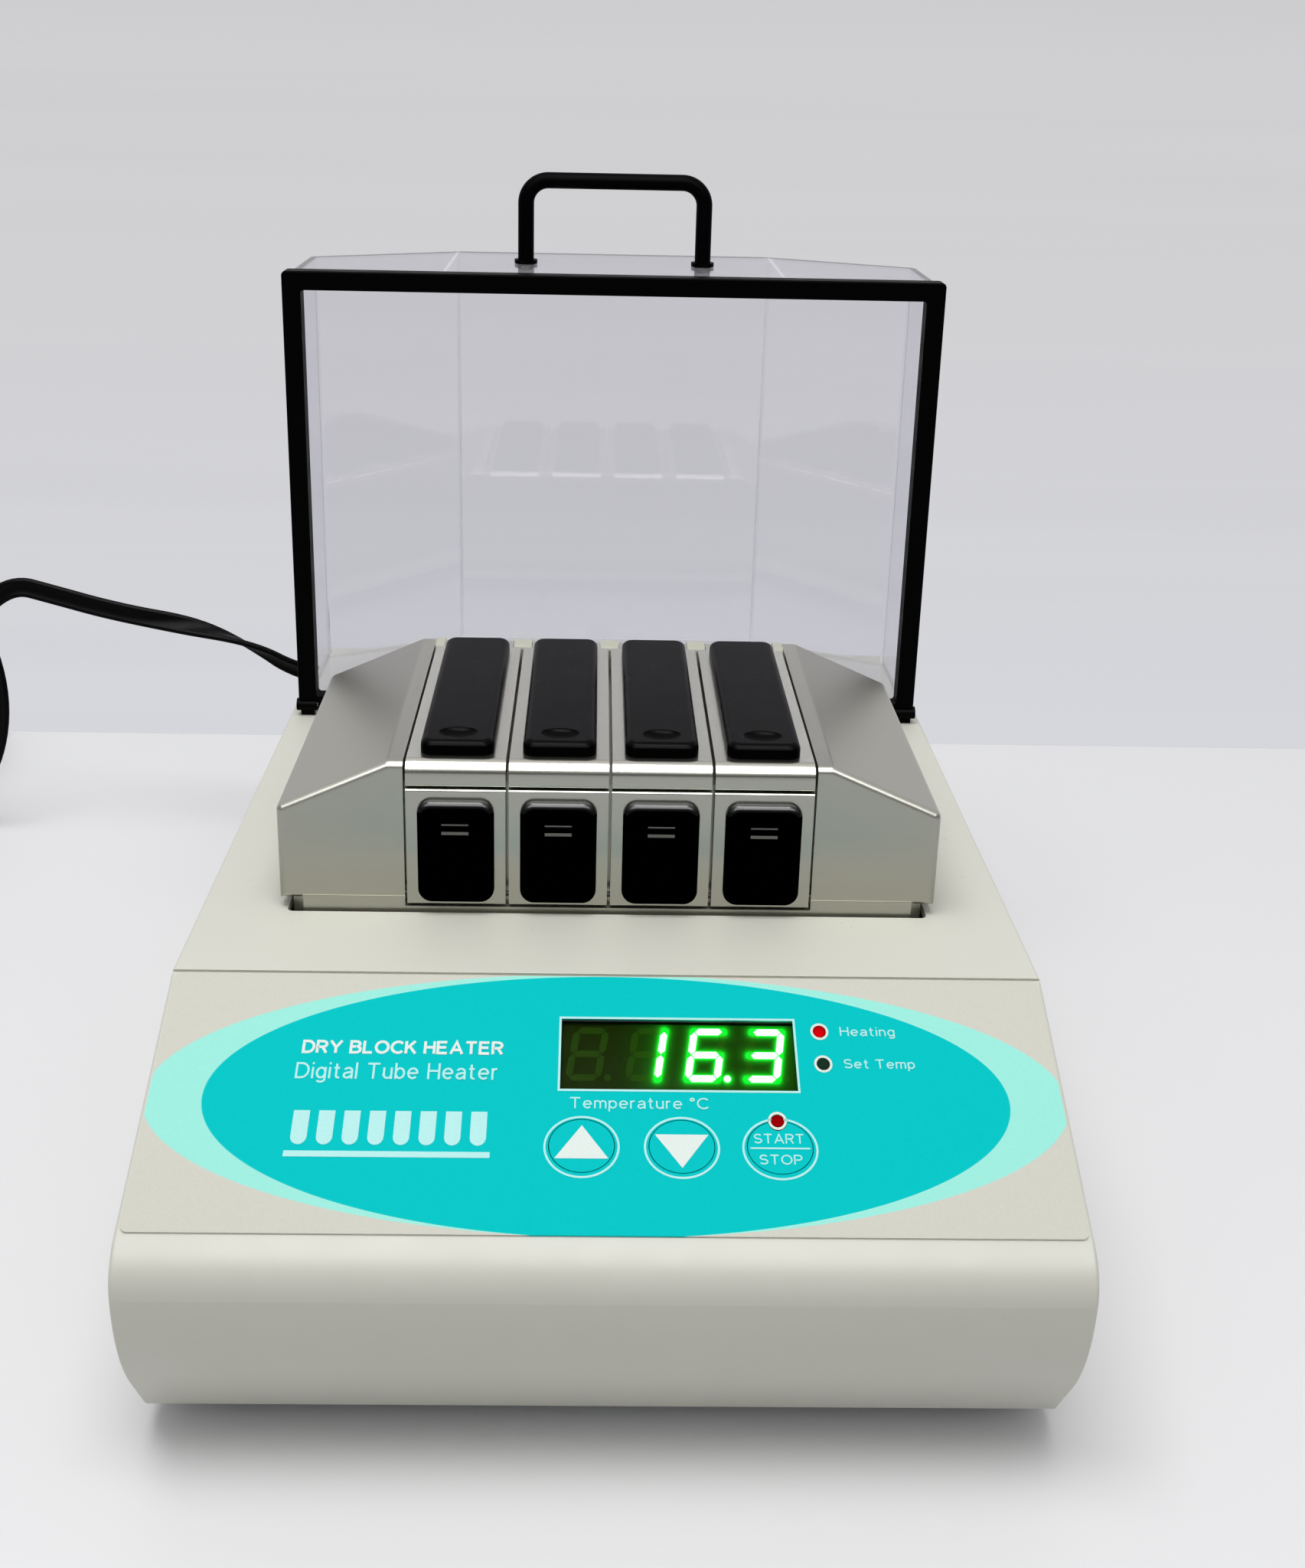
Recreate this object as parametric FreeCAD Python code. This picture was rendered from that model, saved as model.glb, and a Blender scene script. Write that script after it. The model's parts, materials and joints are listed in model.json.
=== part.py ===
import FreeCAD, Part
import math
import os

from FreeCAD import Vector

# Dry block heater: a bench-top heater with a lift-out aluminium block, four
# clamping lids with front latches, a clear hinged cover and a sloping panel.
# Millimetres. Origin: bench plane at the centre of the four feet.
# +X is the user's right, +Y points to the back and +Z is up.

# ---- driving dimensions -------------------------------------------------
CASE_HALF_WIDTH = 101.5
CASE_REAR = 136.5
CASE_BOTTOM = 7.0
CASE_WALL = 2.5
DECK_Z = 88.0
DECK_FRONT = -74.6
SLOPE_FRONT = (-128.4, 60.4)
LIP_FRONT = -120.1
LIP_LEAN = 31.0
NOSE_FRONT = -136.0
BROW_RADIUS = 12.0
BELLY_RADIUS = 56.0
EDGE_ROUND = 1.0
REAR_ROUND = 2.5

WELL_HALF_WIDTH = 79.9
WELL_FRONT = -48.0
WELL_REAR = 41.5
WELL_FLOOR = 36.0
TRAY_WALL = 2.0
TRAY_FLOOR = 6.0

BLOCK_HALF_WIDTH = 81.8
BLOCK_FRONT = -47.0
BLOCK_REAR = 39.5
SHOULDER_BOTTOM = 90.8
SHOULDER_SIDE_TOP = 115.9
SHOULDER_TOP = 128.2
SHOULDER_TOP_X = 54.4
SHOULDER_ROUND = 1.8
BLOCK_TOP = 121.6

MODULE_COUNT = 4
MODULE_PITCH = 25.2
MODULE_GAP = 0.8
LID_BOTTOM = 121.7
LID_NOSE_BOTTOM = 121.95
LID_NOSE_RADIUS = 3.4
LID_PIVOT = (37.0, 124.9)
LID_KNUCKLE_RADIUS = 3.2
TAB_WIDTH = 5.2
GRIP_HALF_WIDTH = 9.1
GRIP_Y = (-42.5, 31.7)
GRIP_HEIGHT = 3.6
GRIP_CORNER = 3.2
GRIP_ROUND = 1.9
LATCH_PIVOT = (-46.1, 92.6)
LATCH_Y = (-47.4, -44.8)
LATCH_Z = (89.8, 121.3)
TILE_HALF_WIDTH = 9.4
TILE_Z = (91.3, 118.9)
TILE_DEPTH = 2.2
TILE_CORNER = 3.5
TILE_ROUND = 1.7
TILE_GROOVES = ((5.9, 0.35), (8.2, 0.5))

COVER_HALF_WIDTH = 98.4
COVER_FRONT = 72.7
COVER_Z = (89.8, 229.8)
COVER_SIDE_REAR = 115.1
COVER_REAR = 135.9
COVER_FLAT_HALF_WIDTH = 51.5
COVER_WALL = 2.5
RIM_BAR = 5.6
RIM_DEPTH = 5.3
COVER_PIVOT = (74.5, 91.5)
HANDLE_LEG_X = 27.9
HANDLE_Y = 108.5
HANDLE_Z = 254.5
HANDLE_RADIUS = 2.5
HANDLE_BEND = 7.0

DISPLAY_CENTRE = (15.75, 39.9)
DISPLAY_SIZE = (52.7, 17.0)
KEY_CENTRES = {"up_key": (-5.6, 18.5), "down_key": (16.0, 18.5), "start_stop_key": (37.2, 18.5)}
KEY_HALF_WIDTH = 7.0
KEY_HALF_HEIGHT = 5.8
KEY_GAP = 0.2
KEY_FLANGE = 0.8
KEY_TRAVEL = 0.3
LED_CENTRES = [(48.0, 45.8), (48.2, 37.9), (37.0, 24.3)]
LED_RADIUS = 1.4
LED_KEY_RELIEF = 2.1
OVERLAY_THICKNESS = 0.5
OVERLAY_LOWER_EDGE = -0.7
OVERLAY_CORNER = 1.6
WINDOW_DEPTH = 1.0
DIGITS_DEPTH = 1.3

BASE_PLATE = 1.5
FOOT_X = 84.0
FOOT_Y = (-100.0, 118.0)
FOOT_RADIUS = 8.0
BASE_SCREW_SPOTS = [(x, y) for x in (-94.5, 94.5) for y in (-92.0, 10.0, 112.0)]
STANDOFF_SPOTS = [(x, y) for x in (-73.0, 73.0) for y in (-41.0, 34.5)]
SCREW_RADIUS = 1.5
SCREW_CLEARANCE = 0.05

REAR_PANEL_HALF_WIDTH = 80.0
REAR_PANEL_Z = (16.0, 76.0)
REAR_PANEL_THICKNESS = 1.5
REAR_SCREW_SPOTS = [(x, z) for x in (-77.0, 77.0) for z in (19.5, 72.5)]
INLET = (-60.0, 42.0)
SWITCH = (55.0, 42.0)
CORD_RADIUS = 2.8

BOARD_X = (-36.0, 46.0)
BOARD_Y = (64.0, 124.0)
BOARD_Z = 16.0
BOARD_THICKNESS = 1.6
BOARD_POST_SPOTS = [(x, y) for x in (-32.0, 42.0) for y in (68.0, 120.0)]
PANEL_BOARD_DEPTH = 9.5
PANEL_POST_SPOTS = [(x, u) for x in (-17.0, 57.0) for u in (11.5, 51.0)]

SLOPE_RISE = math.atan2(DECK_Z - SLOPE_FRONT[1], DECK_FRONT - SLOPE_FRONT[0])
SLOPE_LENGTH = math.hypot(DECK_Z - SLOPE_FRONT[1], DECK_FRONT - SLOPE_FRONT[0])
MODULE_CENTRES = [(i - (MODULE_COUNT - 1) / 2) * MODULE_PITCH for i in range(MODULE_COUNT)]
GAP_LINES = [(i - MODULE_COUNT / 2) * MODULE_PITCH for i in range(MODULE_COUNT + 1)]
CHANNEL_HALF_WIDTH = MODULE_COUNT * MODULE_PITCH / 2 + 0.2


# ---- shape helpers ------------------------------------------------------
def box(x0, x1, y0, y1, z0, z1):
    return Part.makeBox(x1 - x0, y1 - y0, z1 - z0, Vector(x0, y0, z0))


def rod(start, end, radius):
    start = Vector(*start)
    along = Vector(*end) - start
    return Part.makeCylinder(radius, along.Length, start, along)


def fused(shapes):
    first, *others = shapes
    return first.multiFuse(others).removeSplitter() if others else first


def cut(shape, tools):
    return shape.cut(Part.makeCompound(tools))


def corner_arc(previous, corner, following, radius):
    """Start, middle and end of the arc that rounds one corner."""
    before = (previous - corner).normalize()
    after = (following - corner).normalize()
    half = before.getAngle(after) / 2
    reach = radius / math.tan(half)
    bisector = (before + after).normalize()
    centre = corner + bisector * (radius / math.sin(half))
    return corner + before * reach, centre - bisector * radius, corner + after * reach


def outline_face(corners):
    """Face in a plane from (point, corner radius) pairs, points as Vectors."""
    starts, edges = [], []
    count = len(corners)
    for i, (point, radius) in enumerate(corners):
        if radius:
            arc = corner_arc(corners[i - 1][0], point, corners[(i + 1) % count][0], radius)
            edges.append(Part.Arc(*arc).toShape())
            starts.append((arc[0], arc[2]))
        else:
            edges.append(None)
            starts.append((point, point))
    wire = []
    for i in range(count):
        if edges[i]:
            wire.append(edges[i])
        here, there = starts[i][1], starts[(i + 1) % count][0]
        if (there - here).Length > 1e-6:
            wire.append(Part.makeLine(here, there))
    return Part.Face(Part.Wire(wire))


def side_prism(corners, x0, x1):
    """Solid from a YZ outline, swept from x0 to x1."""
    face = outline_face([(Vector(x0, y, z), r) for y, z, r in corners])
    return face.extrude(Vector(x1 - x0, 0, 0))


def plan_prism(corners, z0, z1):
    """Solid from an XY outline, swept from z0 to z1."""
    face = outline_face([(Vector(x, y, z0), r) for x, y, r in corners])
    return face.extrude(Vector(0, 0, z1 - z0))


def front_prism(corners, y0, y1):
    """Solid from an XZ outline, swept from y0 to y1."""
    face = outline_face([(Vector(x, y0, z), r) for x, z, r in corners])
    return face.extrude(Vector(0, y1 - y0, 0))


def rounded_plan(x0, x1, y0, y1, radius):
    return [(x0, y0, radius), (x1, y0, radius), (x1, y1, radius), (x0, y1, radius)]


def ellipse_prism(x, y, half_x, half_y, z0, z1):
    """Elliptical cylinder about a point, from z0 to z1; half_x is the longer half."""
    edge = Part.Ellipse(Vector(x, y, z0), half_x, half_y).toShape()
    return Part.Face(Part.Wire([edge])).extrude(Vector(0, 0, z1 - z0))


def round_edges(shape, radius, wanted):
    edges = [edge for edge in shape.Edges if wanted(edge)]
    return shape.makeFillet(radius, edges) if edges else shape


def all_at(edge, test):
    return all(test(vertex.Point) for vertex in edge.Vertexes)


def wire_run(points, radius):
    """Round conductor along a run of straight stretches."""
    points = [Vector(*point) for point in points]
    stretches = [rod(a, b, radius) for a, b in zip(points, points[1:])]
    elbows = [Part.makeSphere(radius, point) for point in points[1:-1]]
    return fused(stretches + elbows)


def on_slope(shape):
    """Place a shape drawn as x across, y up the slope and z out of it."""
    shape = shape.copy()
    shape.rotate(Vector(0, 0, 0), Vector(1, 0, 0), math.degrees(SLOPE_RISE))
    shape.translate(Vector(0, *SLOPE_FRONT))
    return shape


def pan_screw(x, y, z, length, up=True, head=2.8):
    """Screw with its head's seat at z; up is where the shank points."""
    way = 1 if up else -1
    shank = rod((x, y, z), (x, y, z + way * length), SCREW_RADIUS)
    cap = rod((x, y, z), (x, y, z - way * 1.7), head)
    cap = round_edges(cap, 0.7, lambda e: all_at(e, lambda p: abs(p.z - (z - way * 1.7)) < 0.01))
    slot = box(x - 2.0, x + 2.0, y - 0.3, y + 0.3, z - way * 1.7 - 0.7, z - way * 1.7 + 0.7)
    return fused([shank, cap]).cut(slot)


def along_y(shape, x, z, y):
    """Turn a screw drawn at the origin so that it enters the back, along -Y."""
    shape = shape.copy()
    shape.rotate(Vector(0, 0, 0), Vector(1, 0, 0), 90)
    shape.translate(Vector(x, y, z))
    return shape


# ---- case ---------------------------------------------------------------
def case_corners(inset):
    """Side outline of the case; inset moves every line inwards."""
    lean = math.radians(LIP_LEAN)
    lip_line = Vector(0, -math.sin(lean), math.cos(lean))
    lip_in = Vector(0, math.cos(lean), math.sin(lean))
    slope_line = Vector(0, math.cos(SLOPE_RISE), math.sin(SLOPE_RISE))
    slope_in = Vector(0, math.sin(SLOPE_RISE), -math.cos(SLOPE_RISE))
    lip = Vector(0, LIP_FRONT, CASE_BOTTOM) + lip_in * inset
    slope = Vector(0, *SLOPE_FRONT) + slope_in * inset
    front, rear = NOSE_FRONT + inset, CASE_REAR - inset
    floor_z, top_z = CASE_BOTTOM + inset, DECK_Z - inset

    def at_height(point, line, z):
        return point + line * ((z - point.z) / line.z)

    def at_depth(point, line, y):
        return point + line * ((y - point.y) / line.y)

    low = at_height(lip, lip_line, floor_z)
    belly = at_depth(lip, lip_line, front)
    brow = at_depth(slope, slope_line, front)
    high = at_height(slope, slope_line, top_z)
    return [
        (low.y, low.z, 0),
        (belly.y, belly.z, BELLY_RADIUS - inset),
        (brow.y, brow.z, BROW_RADIUS - inset),
        (high.y, high.z, 0),
        (rear, top_z, REAR_ROUND if not inset else 0),
        (rear, floor_z, 0),
    ]


def key_openings():
    return [
        ellipse_prism(x, u, KEY_HALF_WIDTH + KEY_GAP, KEY_HALF_HEIGHT + KEY_GAP, -6, 6)
        for x, u in KEY_CENTRES.values()]


def slope_cutters():
    """Openings in the slope for display, keys and lamps, and the seam under the deck's edge."""
    width, height = DISPLAY_SIZE[0] + 2.0, DISPLAY_SIZE[1] + 2.0
    x, u = DISPLAY_CENTRE
    window = box(x - width / 2, x + width / 2, u - height / 2, u + height / 2, -6, 6)
    lamps = [rod((lx, lu, -6), (lx, lu, 6), LED_RADIUS + 0.15) for lx, lu in LED_CENTRES]
    seam = box(-CASE_HALF_WIDTH - 1, CASE_HALF_WIDTH + 1, SLOPE_LENGTH - 1.1, SLOPE_LENGTH - 0.2, -0.7, 5)
    return [on_slope(shape) for shape in [window, seam] + key_openings() + lamps]


def top_housing():
    outer = side_prism(case_corners(0), -CASE_HALF_WIDTH, CASE_HALF_WIDTH)
    outer = round_edges(
        outer, EDGE_ROUND,
        lambda e: all_at(e, lambda p: abs(abs(p.x) - CASE_HALF_WIDTH) < 0.01)
        and not all_at(e, lambda p: p.z < CASE_BOTTOM + 0.01))
    inner_half = CASE_HALF_WIDTH - CASE_WALL
    hollow = side_prism(case_corners(CASE_WALL), -inner_half, inner_half)
    mouth = box(-inner_half, inner_half, LIP_FRONT + 3.2, CASE_REAR - CASE_WALL, 0, 12)
    shell = outer.cut(fused([hollow, mouth]))
    bosses = []
    for x, y in BASE_SCREW_SPOTS:
        side = math.copysign(1, x)
        x_inner, x_wall = x - side * 4.0, side * (inner_half + 0.5)
        bosses.append(box(min(x_inner, x_wall), max(x_inner, x_wall), y - 4, y + 4, 8.5, 30))
    rear_inner = CASE_REAR - CASE_WALL
    bosses += [rod((x, rear_inner - 8, z), (x, rear_inner + 1, z), 4) for x, z in REAR_SCREW_SPOTS]
    shell = fused([shell] + bosses)
    well = plan_prism(
        rounded_plan(-WELL_HALF_WIDTH, WELL_HALF_WIDTH, WELL_FRONT, WELL_REAR, 1.5), 80, DECK_Z + 5)
    recess = box(-REAR_PANEL_HALF_WIDTH, REAR_PANEL_HALF_WIDTH, CASE_REAR - REAR_PANEL_THICKNESS,
                 CASE_REAR + 5, *REAR_PANEL_Z)
    window = box(-75, 75, rear_inner - 9, CASE_REAR + 5, 25, 67)
    hole = SCREW_RADIUS + SCREW_CLEARANCE
    holes = [rod((x, y, 8), (x, y, 24), hole) for x, y in BASE_SCREW_SPOTS]
    holes += [rod((x, rear_inner - 7, z), (x, CASE_REAR, z), hole) for x, z in REAR_SCREW_SPOTS]
    return cut(shell, [well, recess, window] + holes + slope_cutters())


def base_plate():
    half = CASE_HALF_WIDTH - CASE_WALL - 0.2
    plate = box(-half, half, LIP_FRONT + 3.4, CASE_REAR - CASE_WALL - 0.2,
                CASE_BOTTOM, CASE_BOTTOM + BASE_PLATE)
    hole = SCREW_RADIUS + SCREW_CLEARANCE
    holes = [rod((x, y, 0), (x, y, 12), hole) for x, y in BASE_SCREW_SPOTS]
    vents = [
        plan_prism(rounded_plan(x - 1.5, x + 1.5, y - 9, y + 9, 1.4), 0, 12)
        for y in (-82, 88) for x in [n * 8 for n in range(-5, 6)]]
    return cut(plate, holes + vents)


def rubber_feet():
    feet = []
    for x in (-FOOT_X, FOOT_X):
        for y in FOOT_Y:
            foot = Part.makeCone(FOOT_RADIUS - 1, FOOT_RADIUS, CASE_BOTTOM, Vector(x, y, 0))
            feet.append(round_edges(foot, 0.8, lambda e: all_at(e, lambda p: p.z < 0.01)))
    return Part.makeCompound(feet)


def housing_screws():
    screws = [pan_screw(x, y, CASE_BOTTOM, 15) for x, y in BASE_SCREW_SPOTS]
    rear = pan_screw(0, 0, 0, 7)
    screws += [along_y(rear, x, z, CASE_REAR) for x, z in REAR_SCREW_SPOTS]
    return Part.makeCompound(screws)


def rear_panel():
    z0, z1 = REAR_PANEL_Z
    half = REAR_PANEL_HALF_WIDTH - 0.2
    y0 = CASE_REAR - REAR_PANEL_THICKNESS
    plate = box(-half, half, y0, CASE_REAR, z0 + 0.2, z1 - 0.2)
    plate = round_edges(plate, 2, lambda e: abs(e.Vertexes[0].Y - e.Vertexes[-1].Y) > 1)
    holes = [rod((x, y0 - 1, z), (x, CASE_REAR + 1, z), SCREW_RADIUS + SCREW_CLEARANCE)
             for x, z in REAR_SCREW_SPOTS]
    inlet = box(INLET[0] - 13.7, INLET[0] + 13.7, y0 - 1, CASE_REAR + 1, INLET[1] - 10, INLET[1] + 10)
    switch = box(SWITCH[0] - 9.7, SWITCH[0] + 9.7, y0 - 1, CASE_REAR + 1, SWITCH[1] - 6.7, SWITCH[1] + 6.7)
    vents = [box(x - 1, x + 1, y0 - 1, CASE_REAR + 1, 34, 60) for x in range(-20, 25, 5)]
    return cut(plate, holes + [inlet, switch] + vents)


# ---- sloping panel ------------------------------------------------------
def panel_overlay():
    half = CASE_HALF_WIDTH - EDGE_ROUND - 0.1
    sheet = plan_prism(
        rounded_plan(-half, half, OVERLAY_LOWER_EDGE, SLOPE_LENGTH - 1.2, OVERLAY_CORNER), 0, OVERLAY_THICKNESS)
    x, u = DISPLAY_CENTRE
    width, height = DISPLAY_SIZE
    window = box(x - width / 2, x + width / 2, u - height / 2, u + height / 2, -1, 2)
    lamps = [rod((lx, lu, -1), (lx, lu, 2), LED_RADIUS + 0.15) for lx, lu in LED_CENTRES]
    return on_slope(cut(sheet, [window] + key_openings() + lamps))


def display_window():
    x, u = DISPLAY_CENTRE
    width, height = DISPLAY_SIZE[0] + 1.8, DISPLAY_SIZE[1] + 1.8
    return on_slope(box(x - width / 2, x + width / 2, u - height / 2, u + height / 2,
                        -WINDOW_DEPTH, -0.02))


def digit_display():
    x, u = DISPLAY_CENTRE
    body = box(x - 25, x + 25, u - 7.5, u + 7.5, -PANEL_BOARD_DEPTH, -DIGITS_DEPTH)
    pockets = [box(x + n - 5.5, x + n + 5.5, u - 6.5, u + 6.5, -DIGITS_DEPTH - 0.8, 0)
               for n in (-18, -6, 6, 18)]
    return on_slope(cut(body, pockets))


def display_board():
    board = box(-21, 61, 7.5, 54.5, -PANEL_BOARD_DEPTH - BOARD_THICKNESS, -PANEL_BOARD_DEPTH)
    holes = [rod((x, u, -20), (x, u, 0), SCREW_RADIUS + SCREW_CLEARANCE) for x, u in PANEL_POST_SPOTS]
    return on_slope(cut(board, holes))


def key_cap(x, u):
    """Flush key with a flange behind the case wall and relief round the start lamp."""
    cap = ellipse_prism(x, u, KEY_HALF_WIDTH, KEY_HALF_HEIGHT, -3.5, OVERLAY_THICKNESS)
    flange = ellipse_prism(x, u, KEY_HALF_WIDTH + KEY_FLANGE, KEY_HALF_HEIGHT + KEY_FLANGE,
                           -3.5, -CASE_WALL - 0.05)
    relief = [rod((lx, lu, -5), (lx, lu, 5), LED_KEY_RELIEF) for lx, lu in LED_CENTRES]
    return on_slope(cut(fused([cap, flange]), relief))


def tact_switches():
    switches = []
    for x, u in KEY_CENTRES.values():
        body = box(x - 3, x + 3, u - 3, u + 3, -PANEL_BOARD_DEPTH, -6.0)
        plunger = rod((x, u, -6.0), (x, u, -3.5 - KEY_TRAVEL - 0.05), 1.7)
        switches.append(on_slope(fused([body, plunger])))
    return Part.makeCompound(switches)


def indicator_leds():
    lamps = []
    for x, u in LED_CENTRES:
        stem = rod((x, u, -PANEL_BOARD_DEPTH), (x, u, 0.2), LED_RADIUS)
        dome = Part.makeSphere(LED_RADIUS, Vector(x, u, 0.2))
        lamps.append(on_slope(fused([stem, dome])))
    return Part.makeCompound(lamps)


def board_standoffs():
    posts = []
    for x, u in PANEL_POST_SPOTS:
        post = rod((x, u, -PANEL_BOARD_DEPTH), (x, u, -CASE_WALL), 3)
        bore = rod((x, u, -PANEL_BOARD_DEPTH - 1), (x, u, -CASE_WALL - 1), SCREW_RADIUS + SCREW_CLEARANCE)
        posts.append(on_slope(post.cut(bore)))
    for x, y in BOARD_POST_SPOTS:
        post = rod((x, y, CASE_BOTTOM + BASE_PLATE), (x, y, BOARD_Z), 3)
        bore = rod((x, y, CASE_BOTTOM + BASE_PLATE + 1), (x, y, BOARD_Z + 1), SCREW_RADIUS + SCREW_CLEARANCE)
        posts.append(post.cut(bore))
    return Part.makeCompound(posts)


def board_screws():
    underside = -PANEL_BOARD_DEPTH - BOARD_THICKNESS
    screws = [on_slope(pan_screw(x, u, underside, 6.5)) for x, u in PANEL_POST_SPOTS]
    screws += [pan_screw(x, y, BOARD_Z + BOARD_THICKNESS, 7, up=False) for x, y in BOARD_POST_SPOTS]
    return Part.makeCompound(screws)


# ---- heater and electronics --------------------------------------------
def block_well():
    outer_half = WELL_HALF_WIDTH + TRAY_WALL
    top = DECK_Z - CASE_WALL - 0.1
    body = box(-outer_half, outer_half, WELL_FRONT - TRAY_WALL, WELL_REAR + TRAY_WALL,
               WELL_FLOOR - TRAY_FLOOR, top)
    inside = plan_prism(
        rounded_plan(-WELL_HALF_WIDTH, WELL_HALF_WIDTH, WELL_FRONT, WELL_REAR, 1.5), WELL_FLOOR, top + 1)
    probe_bore = rod((20, WELL_REAR + 5, WELL_FLOOR - 3), (20, 0, WELL_FLOOR - 3), 1.6)
    return cut(body, [inside, probe_bore])


def heater_mat():
    return box(-66, 66, -42, 20, WELL_FLOOR - TRAY_FLOOR - 2.5, WELL_FLOOR - TRAY_FLOOR)


def insulation_jacket():
    inner_half = WELL_HALF_WIDTH + TRAY_WALL + 0.3
    front, rear = WELL_FRONT - TRAY_WALL - 0.3, WELL_REAR + TRAY_WALL + 0.3
    body = box(-inner_half - 8, inner_half + 8, front - 9, rear + 9, 18, 84)
    tray = box(-inner_half, inner_half, front, rear, 26.5, 90)
    probe = rod((20, 30, WELL_FLOOR - 3), (20, 70, WELL_FLOOR - 3), 2.2)
    posts = [rod((x, y, 10), (x, y, 30), 4.6) for x, y in STANDOFF_SPOTS]
    cutoff = rod((0, 31, 10), (0, 31, 30), 8.5)
    leads = box(-16, -4, 4, 12, 10, 30)
    return cut(body, [tray, probe, cutoff, leads] + posts)


def well_standoffs():
    return Part.makeCompound([
        rod((x, y, CASE_BOTTOM + BASE_PLATE), (x, y, WELL_FLOOR - TRAY_FLOOR), 4)
        for x, y in STANDOFF_SPOTS])


def temperature_probe():
    tip = rod((20, 2, WELL_FLOOR - 3), (20, WELL_REAR + 3, WELL_FLOOR - 3), 1.5)
    lead = wire_run([(20, WELL_REAR + 2, 33), (20, 62, 33), (20, 90, 26)], 0.9)
    return fused([tip, lead])


def thermal_cutoff():
    can = rod((0, 31, 22), (0, 31, 30), 7.5)
    return round_edges(can, 0.8, lambda e: all_at(e, lambda p: p.z < 22.01))


def control_board():
    board = box(*BOARD_X, *BOARD_Y, BOARD_Z, BOARD_Z + BOARD_THICKNESS)
    return cut(board, [rod((x, y, 10), (x, y, 20), SCREW_RADIUS + SCREW_CLEARANCE)
                       for x, y in BOARD_POST_SPOTS])


def terminal_block():
    top = BOARD_Z + BOARD_THICKNESS
    body = box(-30, -4, 103, 114, top, 30)
    return cut(body, [rod((x, 105.5, 26), (x, 105.5, 31), 1.5) for x in (-27, -22, -17)])


def power_relay():
    top = BOARD_Z + BOARD_THICKNESS
    body = box(10, 38, 98, 110, top, 38)
    return round_edges(body, 0.8, lambda e: all_at(e, lambda p: p.z > 37.9))


def transformer():
    base = CASE_BOTTOM + BASE_PLATE
    core = box(-88, -48, 66, 94, base, 44)
    coil = box(-79, -57, 60.5, 99.5, base + 6, 38)
    return fused([core, coil])


def ribbon_cable():
    header = on_slope(box(30, 42, 24, 30, -19, -PANEL_BOARD_DEPTH - BOARD_THICKNESS))
    strip = [
        box(30, 97, -96.6, -95.8, 42, 57),
        box(96.2, 97, -96.6, 72, 42, 54),
        box(30, 97, 71.2, 72, 42, 54),
        box(25, 37, 71.2, 72, 20, 54),
        box(24, 38, 69, 75, BOARD_Z + BOARD_THICKNESS, 25),
    ]
    return fused([header] + strip)


def internal_wires():
    """Heater leads, then the live, switched and neutral conductors."""
    leads = [
        wire_run([(x, 8, 27.4), (x, 8, 13.5), (x, 59, 13.5), (x, 59, 36), (x, y, 36), (x, y, 30.1)], 0.9)
        for x, y in ((-12, 107.5), (-8, 110.5))]
    x_in, z_in = INLET
    x_switch = SWITCH[0]
    live = wire_run([(x_in - 4, 116, z_in + 4), (x_in - 4, 104, z_in + 4), (x_in - 4, 104, 56),
                     (x_switch + 4, 104, 56), (x_switch + 4, 104, z_in), (x_switch + 4, 117.5, z_in)], 1)
    switched = wire_run([(x_switch - 4, 117.5, z_in), (x_switch - 4, 112, z_in),
                         (-22, 112, z_in), (-22, 112, 30.1)], 1)
    neutral = wire_run([(x_in + 4, 116, z_in), (x_in + 4, 109, z_in), (-27, 109, z_in),
                        (-27, 109, 30.1)], 1)
    return Part.makeCompound(leads + [live, switched, neutral])


# ---- mains side ---------------------------------------------------------
def power_inlet():
    x, z = INLET
    flange = front_prism([(x - 15, z - 11.5, 2.5), (x + 15, z - 11.5, 2.5),
                          (x + 15, z + 11.5, 2.5), (x - 15, z + 11.5, 2.5)], CASE_REAR, CASE_REAR + 2.5)
    body = box(x - 13.5, x + 13.5, 116, CASE_REAR, z - 9.8, z + 9.8)
    pocket = front_prism([(x - 12, z - 8, 1), (x + 12, z - 8, 1), (x + 12, z + 4, 1),
                          (x + 8, z + 8, 1), (x - 8, z + 8, 1), (x - 12, z + 4, 1)], 121, 145)
    pins = [box(x + px - 1, x + px + 1, 119, 135, z + pz - 2, z + pz + 2)
            for px, pz in ((-7, -1.5), (7, -1.5), (0, 2.5))]
    return fused([fused([flange, body]).cut(pocket)] + pins)


def power_switch_body():
    x, z = SWITCH
    flange = front_prism([(x - 11, z - 8, 1.5), (x + 11, z - 8, 1.5), (x + 11, z + 8, 1.5),
                          (x - 11, z + 8, 1.5)], CASE_REAR, CASE_REAR + 1.8)
    body = box(x - 9.5, x + 9.5, 117.5, CASE_REAR, z - 6.5, z + 6.5)
    pocket = box(x - 7.7, x + 7.7, 128.5, 145, z - 5.4, z + 5.4)
    return fused([flange, body]).cut(pocket)


def power_rocker():
    x, z = SWITCH
    y = CASE_REAR - 1
    half_disc = side_prism([(y, z - 4.4, 0), (y + 4.0, z - 4.4, 0.6), (y + 2.4, z, 2.0),
                            (y + 4.0, z + 4.4, 0.6), (y, z + 4.4, 0)], x - 7.3, x + 7.3)
    belly = rod((x - 7.3, y, z), (x + 7.3, y, z), 4.4)
    rocker = fused([half_disc, belly])
    rocker.rotate(Vector(x, y, z), Vector(1, 0, 0), -8)
    return rocker


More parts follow.
